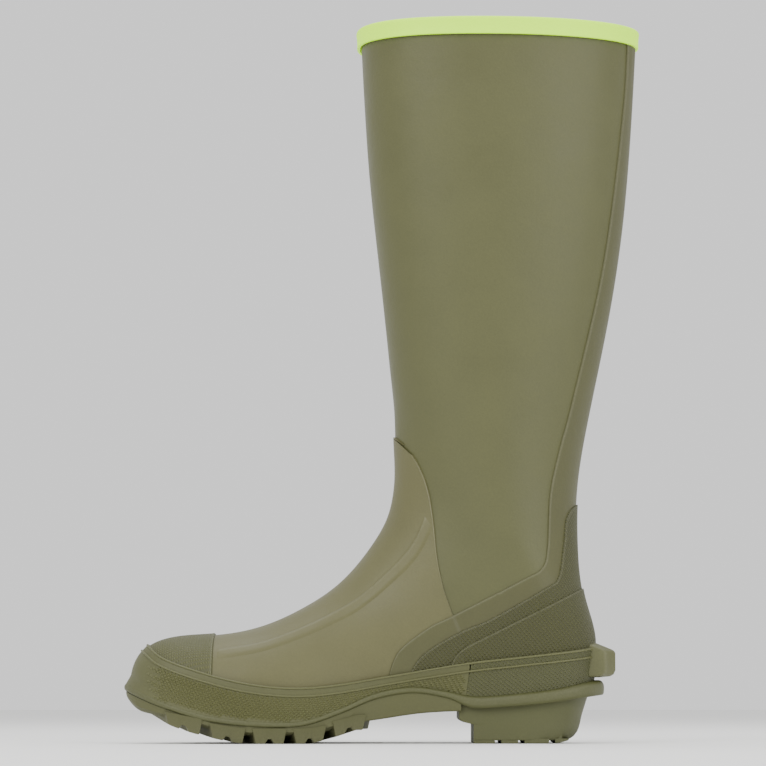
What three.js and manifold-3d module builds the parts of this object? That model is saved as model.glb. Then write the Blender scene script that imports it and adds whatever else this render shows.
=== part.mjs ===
// A right-foot, knee-high insulated rubber field boot, in millimetres.
// The toe points along -X, the medial (inner) side faces -Y and +Z is up.
// Every layer is an offset of one reference skin, which is the outer face of the rubber shell,
// cut out by outlines drawn in side view [x, z] or in plan [x, y].
import * as THREE from "three";
import { mergeVertices } from "three/addons/utils/BufferGeometryUtils.js";
import Module from "manifold-3d";

const wasm = await Module();
wasm.setup();

// ---------------------------------------------------------------- driving dimensions
const SOLE_LENGTH = 307; // toe to heel of the welt
const BOOT_HEIGHT = 462; // floor to the top of the binding
const BALL_WIDTH = 118; // across the welt at the ball of the foot
const LEG_WIDTH = 110; // across the shell at the top of the leg

const GAP = 0.3; // clearance between neighbouring pieces
const SHELL = 1.8; // rubber shell that every outer ply is laid on
const FOAM = 3; // closed-cell foam insulation
const LINING = 0.9; // knitted lining
const PLY = 1.2; // each outer rubber ply
const FOXING = 2.2; // sidewall strip that seals the upper to the sole
const FOXING_LAP = 3; // how far the foxing runs down behind the welt
const BEAD = [6, 0.8]; // smooth strip along the foxing's top: height and thickness
const RIB_WIDTH = 10; // raised rib that runs along each side of the vamp
const WELT_WIDTH = 15; // the welt, from its outer to its inner edge
const OUTSOLE_INSET = 2.2; // outsole edge inside the welt edge
const HEEL_INSET = 5; // heel block edge inside the welt edge
const LUG_DEPTH = 5; // depth of the wide grooves in the forefoot tread
const GROOVE = [8.5, 4]; // widths of the wide and the narrow grooves
const NARROW_DEPTH = 3; // depth of the narrow grooves
const GROOVE_PITCH = 26.5; // from one wide groove to the next
const CHEVRON_RISE = 0.28; // how far back a groove runs for each millimetre outwards
const HEEL_GROOVE = [4, 2]; // width and depth of the grooves across the heel
const HEEL_CORE = [42, 40, 11]; // sponge block let into the heel: length, width, height
const CORE_FLOOR = 9; // rubber under the sponge block
const SHANK = [120, 18, 1.6]; // steel strip under the arch: length, width, thickness
const BOARD = 1.4; // insole board, let into the foam
const BOARD_INSET = 18; // board edge inside the welt edge
const STIFFENER = 1.4; // heel stiffener, let into the foam
const BINDING = [12, 1.6]; // top binding: height and thickness
const FACING = [30, 1]; // band inside the top of the leg: height and thickness
const FOOTBED = [5, 0.8]; // foam and fabric cover of the loose footbed
const FOOTBED_CLEARANCE = 0.9; // footbed edge to the lining
const KICK_LUG = [42, 22]; // spur on the heel: width and height

// ---------------------------------------------------------------- fitting the drawing
// The outlines below are drawn at these sizes and stretched to the driving dimensions.
const DRAWN = { length: 307, height: 462, ball: 118, leg: 110, ankle: 150 };
const fitX = (x) => (x * SOLE_LENGTH) / DRAWN.length;
const fitY = (y) => (y * BALL_WIDTH) / DRAWN.ball;
const legStretch = (BOOT_HEIGHT - DRAWN.ankle) / (DRAWN.height - DRAWN.ankle);
const fitZ = (z) => (z < DRAWN.ankle ? z : DRAWN.ankle + (z - DRAWN.ankle) * legStretch);
const drawn = (points) => points.map(([x, z]) => [fitX(x), fitZ(z)]);

const spline = (a, b, c, d, t) =>
  0.5 * (2 * b + (c - a) * t + (2 * a - 5 * b + 4 * c - d) * t * t + (3 * b - a - 3 * c + d) * t ** 3);

// A smooth line through hand-placed points, open or closed, with count steps between points.
function smooth(points, count = 2, closed = false) {
  const n = points.length;
  const at = (i) => points[closed ? (i + n) % n : THREE.MathUtils.clamp(i, 0, n - 1)];
  const line = closed ? [] : [points[0]];
  for (let i = 0; i < (closed ? n : n - 1); i++) {
    for (let k = 1; k <= count; k++) {
      line.push([0, 1].map((m) => spline(at(i - 1)[m], at(i)[m], at(i + 1)[m], at(i + 2)[m], k / count)));
    }
  }
  return line;
}

const moved = (line, dx, dz) => line.map(([x, z]) => [x + dx, z + dz]);

// ---------------------------------------------------------------- the reference skin
// Sections run from the sole or the back of the boot to its top or front, and fan round the
// instep. Each holds its lower end, its upper end, the medial and lateral y at its widest, where
// along it that is, and the superellipse exponents of its lower and upper parts.
const section = (low, high, sides, widest, round) => ({ low, high, sides, widest, round });
const SECTIONS = [
  section([-150, 38], [-150, 38], [-10, -10], 0.42, [2.6, 2.2]),
  section([-146, 28], [-147, 51.5], [-28, 9], 0.42, [2.7, 2.2]),
  section([-138, 22.8], [-138, 61.5], [-38.5, 20.5], 0.4, [2.8, 2.3]),
  section([-119, 18.6], [-120, 66.3], [-47, 33.5], 0.36, [3, 2.3]),
  section([-97, 14.8], [-96, 68.2], [-51, 43.5], 0.33, [3.2, 2.2]),
  section([-72, 12.3], [-68, 74.2], [-51.5, 50], 0.31, [3.2, 2.1]),
  section([-42, 13.2], [-40, 87.3], [-47, 51], 0.3, [3.2, 2]),
  section([-8, 19.5], [-16, 105], [-40, 47.5], 0.3, [3.2, 1.95]),
  section([30, 25], [3.3, 129], [-36.5, 42.5], 0.32, [3.4, 1.95]),
  section([71, 27.5], [13.1, 149], [-37, 39.5], 0.35, [3.6, 2]),
  section([112, 31.5], [16.3, 171], [-38, 38.5], 0.39, [3.4, 2.05]),
  section([140.5, 57], [15.7, 192], [-39.5, 39.5], 0.44, [2.5, 2.1]),
  section([135.2, 92], [15, 213], [-40.5, 40.5], 0.48, [2.2, 2.15]),
  section([131.2, 132], [12.5, 238], [-42, 42], 0.5, [2.1, 2.2]),
  section([134, 178], [9, 272], [-45, 45], 0.52, [2, 2.25]),
  section([148, 248], [3.5, 322], [-49.5, 49.5], 0.54, [2, 2.3]),
  section([164, 346], [-2.6, 386], [-53, 53], 0.56, [2, 2.35]),
  section([173.6, 486], [-8, 486], [-55.5, 55.5], 0.57, [2, 2.4]),
];
const TOP = SECTIONS.length - 1;
const run = (from, to, count) => Array.from({ length: count }, (_, i) => from + ((to - from) * i) / count);
const STATIONS = [...run(0.45, 2, 2), ...run(2, 8, 6), ...run(8, 13, 7), ...run(13, TOP, 3), TOP];
const AROUND = 16; // points round each section

// Widths follow the ball width in the foot and the leg width towards the top.
function widthAt(s) {
  const [foot, leg] = [BALL_WIDTH / DRAWN.ball, LEG_WIDTH / DRAWN.leg];
  return foot + (leg - foot) * THREE.MathUtils.smoothstep(s, 7, 15);
}

const numbers = (q, s) => {
  const [[lowX, lowZ], [highX, highZ]] = drawn([q.low, q.high]);
  const [medial, lateral] = q.sides.map((y) => y * widthAt(s));
  return [lowX, lowZ, highX, highZ, medial, lateral, q.widest, ...q.round];
};
const mirrored = (q) => section(q.high, q.low, [q.sides[1], q.sides[0]], q.widest, q.round);

// The section at a fractional station, smooth through every drawn one and round the toe.
function sectionAt(s) {
  const i = Math.min(Math.floor(s), TOP - 1);
  const before = numbers(i > 0 ? SECTIONS[i - 1] : mirrored(SECTIONS[1]), i - 1);
  const [from, to] = [numbers(SECTIONS[i], i), numbers(SECTIONS[i + 1], i + 1)];
  const after = i + 2 > TOP ? to.map((v, k) => 2 * v - from[k]) : numbers(SECTIONS[i + 2], i + 2);
  return from.map((v, k) => spline(before[k], v, to[k], after[k], s - i));
}

// A point of the skin, at an angle from the section's upper end over the medial side.
function skinPoint(s, angle) {
  const [lowX, lowZ, highX, highZ, medial, lateral, widest, lowRound, highRound] = sectionAt(s);
  const [up, out] = [Math.cos(angle), Math.sin(angle)];
  const power = 2 / (up >= 0 ? highRound : lowRound);
  const reach = Math.abs(up) ** power;
  const share = up >= 0 ? widest + (1 - widest) * reach : widest * (1 - reach);
  const [middle, half] = [(medial + lateral) / 2, (lateral - medial) / 2];
  const y = middle - Math.sign(out) * half * Math.abs(out) ** power;
  return new THREE.Vector3(lowX + (highX - lowX) * share, y, lowZ + (highZ - lowZ) * share);
}

function skinNormal(s, angle) {
  const tiny = 1e-3;
  const along = skinPoint(Math.min(s + tiny, TOP), angle).sub(skinPoint(s - tiny, angle));
  const round = skinPoint(s, angle + tiny).sub(skinPoint(s, angle - tiny));
  return round.cross(along).normalize();
}

function solid(points, triangles) {
  const vertProperties = new Float32Array(points.flatMap((p) => [p.x, p.y, p.z]));
  const triVerts = new Uint32Array(triangles.flat());
  return new wasm.Manifold(new wasm.Mesh({ numProp: 3, vertProperties, triVerts }));
}

// The whole boot, filled and closed, with its surface moved out from the skin by a distance.
function filledBoot(out) {
  const points = [skinPoint(0, 0).add(new THREE.Vector3(-out, 0, 0))];
  const top = new THREE.Vector3();
  for (const s of STATIONS) {
    for (let j = 0; j < AROUND; j++) {
      const angle = (j / AROUND) * 2 * Math.PI;
      const p = skinPoint(s, angle).addScaledVector(skinNormal(s, angle), out);
      points.push(p);
      if (s === TOP) top.addScaledVector(p, 1 / AROUND);
    }
  }
  const lid = points.push(top) - 1;
  const at = (ring, j) => 1 + ring * AROUND + (j % AROUND);
  const triangles = [];
  for (let j = 0; j < AROUND; j++) {
    triangles.push([0, at(0, j + 1), at(0, j)]);
    for (let r = 0; r + 1 < STATIONS.length; r++) {
      triangles.push([at(r, j), at(r + 1, j + 1), at(r + 1, j)], [at(r, j), at(r, j + 1), at(r + 1, j + 1)]);
    }
    triangles.push([lid, at(STATIONS.length - 1, j), at(STATIONS.length - 1, j + 1)]);
  }
  return solid(points, triangles);
}

const bootsMade = new Map();
function boot(out) {
  if (!bootsMade.has(out)) bootsMade.set(out, filledBoot(out));
  return bootsMade.get(out);
}
const layer = (inner, outer) => boot(outer).subtract(boot(inner));

// ---------------------------------------------------------------- cutting tools
const FAR = SOLE_LENGTH + BOOT_HEIGHT; // clear of the boot in every direction

function fromGeometry(geometry) {
  for (const name of ["normal", "uv"]) geometry.deleteAttribute(name);
  const { attributes, index } = mergeVertices(geometry, 1e-4);
  const vertProperties = new Float32Array(attributes.position.array);
  const triVerts = new Uint32Array(index.array);
  return new wasm.Manifold(new wasm.Mesh({ numProp: 3, vertProperties, triVerts }));
}

const extruded = (points, depth) => {
  const shape = new THREE.Shape(points.map(([x, y]) => new THREE.Vector2(x, y)));
  return new THREE.ExtrudeGeometry(shape, { depth, bevelEnabled: false });
};
// A side-view outline run across the boot, and a plan outline run upwards.
const across = (points, fromY = -FAR, toY = FAR) =>
  fromGeometry(extruded(points, toY - fromY).rotateX(Math.PI / 2).translate(0, toY, 0));
const upward = (points, fromZ = -FAR, toZ = FAR) =>
  fromGeometry(extruded(points, toZ - fromZ).translate(0, 0, fromZ));
const slice = (fromX, toX, fromZ, toZ) => across([[fromX, fromZ], [toX, fromZ], [toX, toZ], [fromX, toZ]]);
const heights = (fromZ, toZ) => slice(-FAR, FAR, fromZ, toZ);
const behindX = (x) => slice(x, FAR, -FAR, FAR);
const aheadOfX = (x) => slice(-FAR, x, -FAR, FAR);

// What lies under, over, behind or ahead of a side-view line.
const spread = (line) => [[-FAR, line[0][1]], ...line, [FAR, line.at(-1)[1]]];
const under = (line) => across([...spread(line), [FAR, -FAR], [-FAR, -FAR]]);
const over = (line) => across([...spread(line), [FAR, FAR], [-FAR, FAR]]);
const behind = (line) => across([...line, [line.at(-1)[0], -FAR], [FAR, -FAR], [FAR, line[0][1]]]);
const ahead = (line) => across([...line, [line.at(-1)[0], -FAR], [-FAR, -FAR], [-FAR, line[0][1]]]);
const aboveAndBehind = (line) => across([...line, [line.at(-1)[0], -FAR], [FAR, -FAR], [FAR, FAR],
  [-FAR, FAR], [-FAR, line[0][1]]]);

// A closed anticlockwise plan outline, moved inwards.
function inset(outline, distance) {
  const n = outline.length;
  return outline.map(([x, y], i) => {
    const [[ax, ay], [bx, by]] = [outline[(i + n - 1) % n], outline[(i + 1) % n]];
    const scale = distance / Math.hypot(bx - ax, by - ay);
    return [x - (by - ay) * scale, y + (bx - ax) * scale];
  });
}

// ---------------------------------------------------------------- outlines
const SOLE_EDGE = smooth([
  [149.6, 0], [146.2, 18.5], [131, 35], [100, 42.5], [62, 44.5], [26, 49.5], [-14, 56.5], [-52, 59.2],
  [-86, 54], [-116, 42.5], [-139, 23], [-152, 2], [-157.4, -14], [-150.5, -33.5], [-131, -50.5],
  [-98, -58.6], [-64, -58.6], [-24, -48.6], [22, -39.8], [62, -40.6], [100, -42.4], [131, -35],
  [146.2, -18.5],
].map(([x, y]) => [fitX(x), fitY(y)]), 2, true);
const FOXING_TOP = drawn([[-165, 65], [-143, 61.5], [-130, 52.4], [-102, 43], [-74, 37], [-47, 35.2],
  [-20, 37.5], [18, 44], [60, 51.3], [95, 55.5], [132, 60.5], [160, 66]]);
const WELT_TOP = drawn([[-165, 42], [-150, 35], [-130, 26.5], [-102, 18.5], [-72, 14.8], [-43, 14.8],
  [-18, 23], [3, 32], [26, 36], [48, 33.2], [64, 30], [84, 30.7], [112, 33.5], [140, 38.5], [165, 43]]);
const WELT_LOW = drawn([[-165, 36], [-150, 28.5], [-130, 20.5], [-102, 12.4], [-72, 9], [-43, 9.4], [-18, 18],
  [3, 27.4], [26, 31.8], [48, 28.6], [64, 22.5], [84, 23], [112, 25.5], [140, 29.5], [165, 33]]);
const TREAD = smooth(drawn([[-165, 40], [-150, 23], [-138, 17], [-120, 9.4], [-98, 3.4], [-76, 0],
  [-42, 0], [-26, 3.2], [-9, 8.6]])).map(([x, z]) => [x, Math.max(z, 0)]);
const WAIST = smooth(drawn([[-6, 13.6], [6, 15.3], [28, 18.6], [44, 19.9], [57, 20.4]]));
const FILLER_LOW = drawn([[-165, 31], [-138, 21.6], [-119, 16.4], [-97, 11.8], [-72, 9], [-42, 9.8],
  [-24, 12.6], [-8, 16], [30, 21], [50, 22.4], [72, 22.7], [100, 24.4], [118, 26], [165, 31]]);
const VAMP_EDGE = smooth(drawn([[15.9, 194], [23.5, 188.5], [31.7, 176], [37.2, 159], [40.3, 139],
  [42.4, 117], [46.4, 97], [52.2, 80.2], [58, 62], [62, 20]]));
const BACKSTAY_EDGE = smooth(drawn([[165.8, 462], [163.2, 411], [149.4, 308], [128.5, 218],
  [120, 186.5], [113.8, 158], [112, 125], [108.4, 111], [96, 103.2], [52, 80.7], [37.4, 73.5],
  [19.4, 60], [12.7, 48], [9, 30]]));
const COUNTER_EDGE = smooth(drawn([[137, 156.5], [128.3, 150.4], [123.6, 142], [121.8, 126],
  [118.2, 105], [110, 97.8], [76.4, 78.8], [56.2, 70.4], [34.2, 57], [25, 45], [20, 30]]));
const LOW_COUNTER_EDGE = smooth(drawn([[150, 108], [131, 96.8], [110.7, 86.4], [79.2, 70.6], [58, 59.5],
  [50.7, 49.5], [46, 30]]));
const RIB_LINE = smooth(drawn([[-97.5, 55.5], [-68.3, 60.5], [-40.1, 70.9], [-13.2, 84.5], [-1.1, 93.1],
  [10.9, 103.8], [23.2, 116], [31.7, 128.1], [35.5, 138]]), 1);
const CAP_EDGE = fitX(-99.6); // rear edge of the toe cap
const FOXING_JOINT = drawn([[60.6, 54], [64.6, 26]]); // where the heel foxing butts on the front one
const HEEL_BREAST = fitX(65);
const HEEL_GROOVES = [80.4, 95, 114.6].map(fitX);
const SPLIT = moved(VAMP_EDGE, -9, -9); // joint in the shell, foam and lining, lapped by the vamp

// The middle line of the skin's underside, from toe to heel, raised by a height.
function seat(rise) {
  const points = [1, 2, 3, 4, 5, 6, 7, 8, 9, 9.5, 10].map((s) => skinPoint(s, Math.PI));
  return points.map((p) => [p.x, p.z + rise]);
}

// ---------------------------------------------------------------- layers, as distances out from the skin
const OUTER = [0, 1, 2].map((n) => [GAP + n * (PLY + GAP), (n + 1) * (PLY + GAP)]);
const FOAM_OUT = -SHELL - GAP;
const FOAM_IN = FOAM_OUT - FOAM;
const LINING_OUT = FOAM_IN - GAP;
const LINING_IN = LINING_OUT - LINING;
const FOXING_IN = OUTER[0][1] + GAP;
const FOXING_OUT = FOXING_IN + FOXING;
const BEAD_OUT = FOXING_OUT + GAP + BEAD[1];
const EDGE_TOP = BOOT_HEIGHT - BINDING[1] - GAP; // cut top edge of shell, foam and lining
const PLY_TOP = BOOT_HEIGHT - BINDING[0] - GAP; // top of the plies under the binding

// ---------------------------------------------------------------- shell, foam and lining
function rearAndFront(inner, outer) {
  const whole = layer(inner, outer).intersect(heights(-FAR, EDGE_TOP));
  return [whole.intersect(aboveAndBehind(SPLIT)), whole.intersect(ahead(moved(SPLIT, -GAP, -GAP)))];
}

// The insole board lies under the foot and the stiffener cups the heel, both let into the foam.
function insoleBoard(grow = 0) {
  const sheet = layer(FOAM_OUT - BOARD - grow, FOAM_OUT + grow);
  const plan = upward(inset(SOLE_EDGE, BOARD_INSET - grow));
  return sheet.intersect(plan).intersect(under(seat(SHELL + 6 + grow)));
}
const STIFFENER_EDGE = smooth(drawn([[68, 40], [78, 60], [94, 82], [116, 96], [150, 102]]));
function heelStiffener(grow = 0) {
  const sheet = layer(FOAM_OUT - STIFFENER - grow, FOAM_OUT + grow);
  const cup = under(moved(STIFFENER_EDGE, -grow, grow)).intersect(behindX(STIFFENER_EDGE[0][0] - grow));
  return sheet.intersect(cup).intersect(over(seat(SHELL + 8 - grow)));
}
const letIn = (foam) => foam.subtract(insoleBoard(GAP)).subtract(heelStiffener(GAP));

// ---------------------------------------------------------------- outer plies
const ply = (level, cut) => layer(...OUTER[level]).intersect(cut).intersect(heights(-FAR, PLY_TOP));
const toFoxing = over(moved(FOXING_TOP, 0, GAP));
const toWelt = over(WELT_TOP);
const vamp = () => {
  const sheet = ply(0, ahead(VAMP_EDGE)).intersect(behindX(CAP_EDGE)).intersect(toWelt);
  return sheet.subtract(behind(moved(BACKSTAY_EDGE, -GAP, GAP)));
};
const backstay = () => ply(0, behind(BACKSTAY_EDGE)).intersect(toWelt);
const toePuff = () => ply(0, aheadOfX(CAP_EDGE - GAP)).intersect(toWelt);
const toeCap = () => ply(1, aheadOfX(CAP_EDGE)).intersect(toFoxing);
const heelCounter = () => ply(1, behind(COUNTER_EDGE)).intersect(toFoxing);
const lowerHeelCounter = () => ply(2, behind(LOW_COUNTER_EDGE)).intersect(toFoxing);
const rib = (fromY, toY) => {
  const half = RIB_WIDTH / 2;
  const outline = [...moved(RIB_LINE, half / 2, -half), ...moved(RIB_LINE, -half / 2, half).reverse()];
  return layer(...OUTER[1]).intersect(across(outline, fromY, toY)).intersect(behindX(CAP_EDGE + GAP));
};

// ---------------------------------------------------------------- foxing, bead, welt and binding
const behindWelt = (grow) => boot(FOXING_OUT + grow).intersect(over(moved(WELT_TOP, 0, -FOXING_LAP - grow)));
const foxing = () => layer(FOXING_IN, FOXING_OUT).intersect(under(FOXING_TOP)).intersect(behindWelt(0));
const foxingFront = () => foxing().intersect(ahead([[FOXING_JOINT[0][0], FAR], ...FOXING_JOINT]));
const foxingHeel = () =>
  foxing().intersect(behind([[FOXING_JOINT[0][0] + GAP, FAR], ...moved(FOXING_JOINT, GAP, 0)]));
const bead = (grow = 0) =>
  layer(FOXING_OUT + GAP, BEAD_OUT + grow).intersect(under(moved(FOXING_TOP, 0, grow)))
    .intersect(over(moved(FOXING_TOP, 0, -BEAD[0] - grow)));
const welt = () => {
  const ring = upward(SOLE_EDGE).subtract(upward(inset(SOLE_EDGE, WELT_WIDTH)));
  const rim = ring.intersect(under(WELT_TOP)).intersect(over(WELT_LOW));
  return rim.subtract(behindWelt(GAP)).subtract(boot(GAP));
};
const binding = () => {
  const [height, thickness] = BINDING;
  const [outside, inside] = [GAP + thickness, LINING_IN - GAP - thickness];
  const body = layer(inside, outside).intersect(heights(BOOT_HEIGHT - height, BOOT_HEIGHT));
  return body.subtract(layer(LINING_IN - GAP, GAP).intersect(heights(-FAR, BOOT_HEIGHT - thickness)));
};
const facing = () => {
  const [height, thickness] = FACING;
  return layer(LINING_IN - GAP - thickness, LINING_IN - GAP).intersect(heights(PLY_TOP - height, PLY_TOP));
};

// ---------------------------------------------------------------- sole
const fillerRoom = (grow) =>
  upward(inset(SOLE_EDGE, WELT_WIDTH + GAP - grow)).intersect(over(moved(FILLER_LOW, 0, -grow)));
function shank(grow = 0) {
  const [length, width, thickness] = SHANK;
  const front = fitX(28) - length / 2;
  const line = moved(FILLER_LOW, 0, GAP);
  const strip = over(moved(line, 0, -grow)).intersect(under(moved(line, 0, thickness + grow)));
  const [fore, aft] = [front - grow, front + length + grow];
  const ends = [[fore, -FAR], [aft, -FAR], [aft, FAR], [fore, FAR]];
  return strip.intersect(across(ends, -width / 2 - grow, width / 2 + grow));
}
const filler = () =>
  fillerRoom(-GAP).intersect(under(moved(WELT_TOP, 0, -GAP))).subtract(boot(GAP)).subtract(behindWelt(GAP))
    .subtract(shank(GAP));

// Chevron grooves of one width and depth across the forefoot, their points towards the toe.
function grooves(firstX, width, depth) {
  const cuts = [];
  for (let x = firstX; x < fitX(-8); x += GROOVE_PITCH) {
    const swept = FAR * CHEVRON_RISE;
    const edge = (dx) => [[x + dx + swept, FAR], [x + dx, 0], [x + dx + swept, -FAR]];
    cuts.push(upward([...edge(-width / 2), ...edge(width / 2).reverse()]));
  }
  return cuts.reduce((all, cut) => all.add(cut)).intersect(under(treadRoot(depth)));
}
// The floor of a groove: full depth under the ball, shallower towards the toe.
const treadRoot = (depth) =>
  TREAD.map(([x, z]) => [x, z + depth * THREE.MathUtils.smoothstep(x, fitX(-152), fitX(-112))]);
function outsole() {
  const body = upward(inset(SOLE_EDGE, OUTSOLE_INSET)).intersect(under(moved(WELT_LOW, 0, -GAP)));
  const cut = body.intersect(over([...TREAD, ...WAIST])).intersect(aheadOfX(HEEL_BREAST - 8));
  const first = fitX(-145);
  const lugged = cut.subtract(grooves(first, GROOVE[0], LUG_DEPTH))
    .subtract(grooves(first + GROOVE_PITCH / 2, GROOVE[1], NARROW_DEPTH));
  return lugged.subtract(fillerRoom(0)).subtract(boot(GAP));
}
function heelCore(grow = 0) {
  const [length, width, height] = HEEL_CORE;
  const [front, side] = [HEEL_BREAST + 12 - grow, width / 2 + grow];
  const back = front + length + 2 * grow;
  const plan = [[front, -side], [back, -side], [back, side], [front, side]];
  return upward(plan, CORE_FLOOR - grow, grow ? FAR : CORE_FLOOR + height);
}
function heelBlock() {
  const [width, depth] = HEEL_GROOVE;
  const front = HEEL_BREAST;
  const lip = front - 8 + GAP;
  const roll = smooth(drawn([[124, 1.6], [130, 4.6], [133.2, 9.6], [135.4, 18], [140, 31]]));
  const side = [[front, 0], [fitX(116), 0], ...roll, [fitX(140), 40], [lip, 40], [lip, 20.6],
    [front - 4, 16.6], [front, 15.4]];
  const cuts = HEEL_GROOVES.map((x) => slice(x - width / 2, x + width / 2, -FAR, depth));
  const whole = upward(inset(SOLE_EDGE, HEEL_INSET)).intersect(across(side));
  const block = whole.intersect(under(moved(WELT_LOW, 0, -GAP)));
  const grooved = cuts.reduce((left, cut) => left.subtract(cut), block);
  return grooved.subtract(heelCore(GAP)).subtract(fillerRoom(0)).subtract(boot(GAP));
}
function kickLug() {
  const [width, height] = KICK_LUG;
  const [foot, back] = [42, fitX(156.3)];
  const top = foot + height;
  const side = [[back - 40, foot], [back - 7, foot], [back - 2, foot + 2.5], [back, foot + 6],
    [back, top - 7.5], [back - 2, top - 3.5], [back - 6.5, top - 1], [back - 12, top], [back - 40, top]];
  const bar = across(side, -width / 2, width / 2).intersect(behindX(fitX(100)));
  return bar.subtract(boot(FOXING_OUT + GAP)).subtract(bead(GAP)).subtract(ply(2, behind(LOW_COUNTER_EDGE)));
}

// ---------------------------------------------------------------- footbed
const footbedSpace = () => boot(LINING_IN - FOOTBED_CLEARANCE);
const bedTop = -LINING_IN + FOOTBED_CLEARANCE + FOOTBED[0];
const footbed = () => footbedSpace().intersect(under(seat(bedTop)));
const footbedCover = () =>
  footbedSpace().intersect(over(seat(bedTop + GAP))).intersect(under(seat(bedTop + GAP + FOOTBED[1])));

// ---------------------------------------------------------------- assembly
const RUBBER = { roughness: 0.55, metalness: 0 };
const group = new THREE.Group();
function add(name, made, color, finish = RUBBER) {
  const { vertProperties, triVerts } = made.getMesh();
  const geometry = new THREE.BufferGeometry();
  geometry.setAttribute("position", new THREE.BufferAttribute(new Float32Array(vertProperties), 3));
  geometry.setIndex(new THREE.BufferAttribute(new Uint32Array(triVerts), 1));
  geometry.computeVertexNormals();
  const mesh = new THREE.Mesh(geometry, new THREE.MeshStandardMaterial({ color, ...finish }));
  mesh.name = name;
  group.add(mesh);
}

const TEXTILE = { roughness: 0.95, metalness: 0 };
const [legShell, footShell] = rearAndFront(-SHELL, 0);
const [legFoam, footFoam] = rearAndFront(FOAM_IN, FOAM_OUT).map(letIn);
const [legLining, footLining] = rearAndFront(LINING_IN, LINING_OUT);
add("leg_shell", legShell, 0x777658);
add("forefoot_shell", footShell, 0x6c6b4c);
add("leg_insulation", legFoam, 0x2c2c2e, TEXTILE);
add("forefoot_insulation", footFoam, 0x2c2c2e, TEXTILE);
add("leg_lining", legLining, 0x4a4a3c, TEXTILE);
add("forefoot_lining", footLining, 0x4a4a3c, TEXTILE);
add("insole_board", insoleBoard(), 0xa08c68, TEXTILE);
add("heel_stiffener", heelStiffener(), 0x8a8474, TEXTILE);
add("vamp", vamp(), 0x7a7757);
add("toe_puff", toePuff(), 0x6c6b4c);
add("toe_cap", toeCap(), 0x7b795a);
add("rib_medial", rib(-FAR, 0), 0x7b785a);
add("rib_lateral", rib(0, FAR), 0x7b785a);
add("backstay", backstay(), 0x6c6b4c);
add("heel_counter", heelCounter(), 0x656445);
add("lower_heel_counter", lowerHeelCounter(), 0x666546);
add("foxing_front", foxingFront(), 0x737253);
add("foxing_heel", foxingHeel(), 0x666546);
add("foxing_bead", bead(), 0x75734f);
add("welt", welt(), 0x6e6d4e);
add("kick_lug", kickLug(), 0x747454);
add("filler", filler(), 0x3a382e, TEXTILE);
add("shank", shank(), 0x9a9c9e, { roughness: 0.4, metalness: 1 });
add("outsole", outsole(), 0x696754);
add("heel_block", heelBlock(), 0x6d6c4d);
add("heel_core", heelCore(), 0x3a382e, TEXTILE);
add("top_binding", binding(), 0xd8e684, TEXTILE);
add("top_facing", facing(), 0x55543f, TEXTILE);
add("footbed", footbed(), 0x35362f, TEXTILE);
add("footbed_cover", footbedCover(), 0x4c4d42, TEXTILE);

// The origin is at the middle of the boot's box, on the floor.
const box = new THREE.Box3().setFromObject(group);
group.position.set(-(box.min.x + box.max.x) / 2, -(box.min.y + box.max.y) / 2, -box.min.z);

export default group;
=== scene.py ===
"""A right-foot, knee-high insulated rubber field boot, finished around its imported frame.

Outlines are drawn in millimetres, in side view as (x, z) and in plan as (x, y), and are moved to
the frame's own origin by the place of the heel spur. Meshes are in metres.
"""

import logging
import math
from dataclasses import dataclass, field
from enum import Enum
from functools import cached_property
from typing import Callable, Optional, Sequence

import bmesh
import bpy
import numpy as np
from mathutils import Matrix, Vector


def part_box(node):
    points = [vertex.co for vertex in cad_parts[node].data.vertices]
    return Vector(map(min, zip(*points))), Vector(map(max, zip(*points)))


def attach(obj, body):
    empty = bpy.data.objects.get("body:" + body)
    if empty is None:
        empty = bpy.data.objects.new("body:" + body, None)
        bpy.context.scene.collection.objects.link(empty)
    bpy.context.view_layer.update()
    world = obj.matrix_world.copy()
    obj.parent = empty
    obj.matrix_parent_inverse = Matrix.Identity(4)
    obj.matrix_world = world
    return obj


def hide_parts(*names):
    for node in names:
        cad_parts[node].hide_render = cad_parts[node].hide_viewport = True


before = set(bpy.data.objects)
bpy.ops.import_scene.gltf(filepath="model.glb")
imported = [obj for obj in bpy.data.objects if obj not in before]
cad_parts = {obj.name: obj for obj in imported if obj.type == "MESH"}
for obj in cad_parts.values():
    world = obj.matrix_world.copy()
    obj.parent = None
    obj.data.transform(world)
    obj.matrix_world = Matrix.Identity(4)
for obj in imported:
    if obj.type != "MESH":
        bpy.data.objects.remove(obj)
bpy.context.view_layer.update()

LOG = logging.getLogger("boot")
MM = 0.001
BODY = "boot"

# ------------------------------------------------------------------ the drawing, in millimetres
SPUR_BACK, SPUR_FOOT = 156.3, 42.0  # drawn place of the heel spur, which fixes the origin

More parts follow.
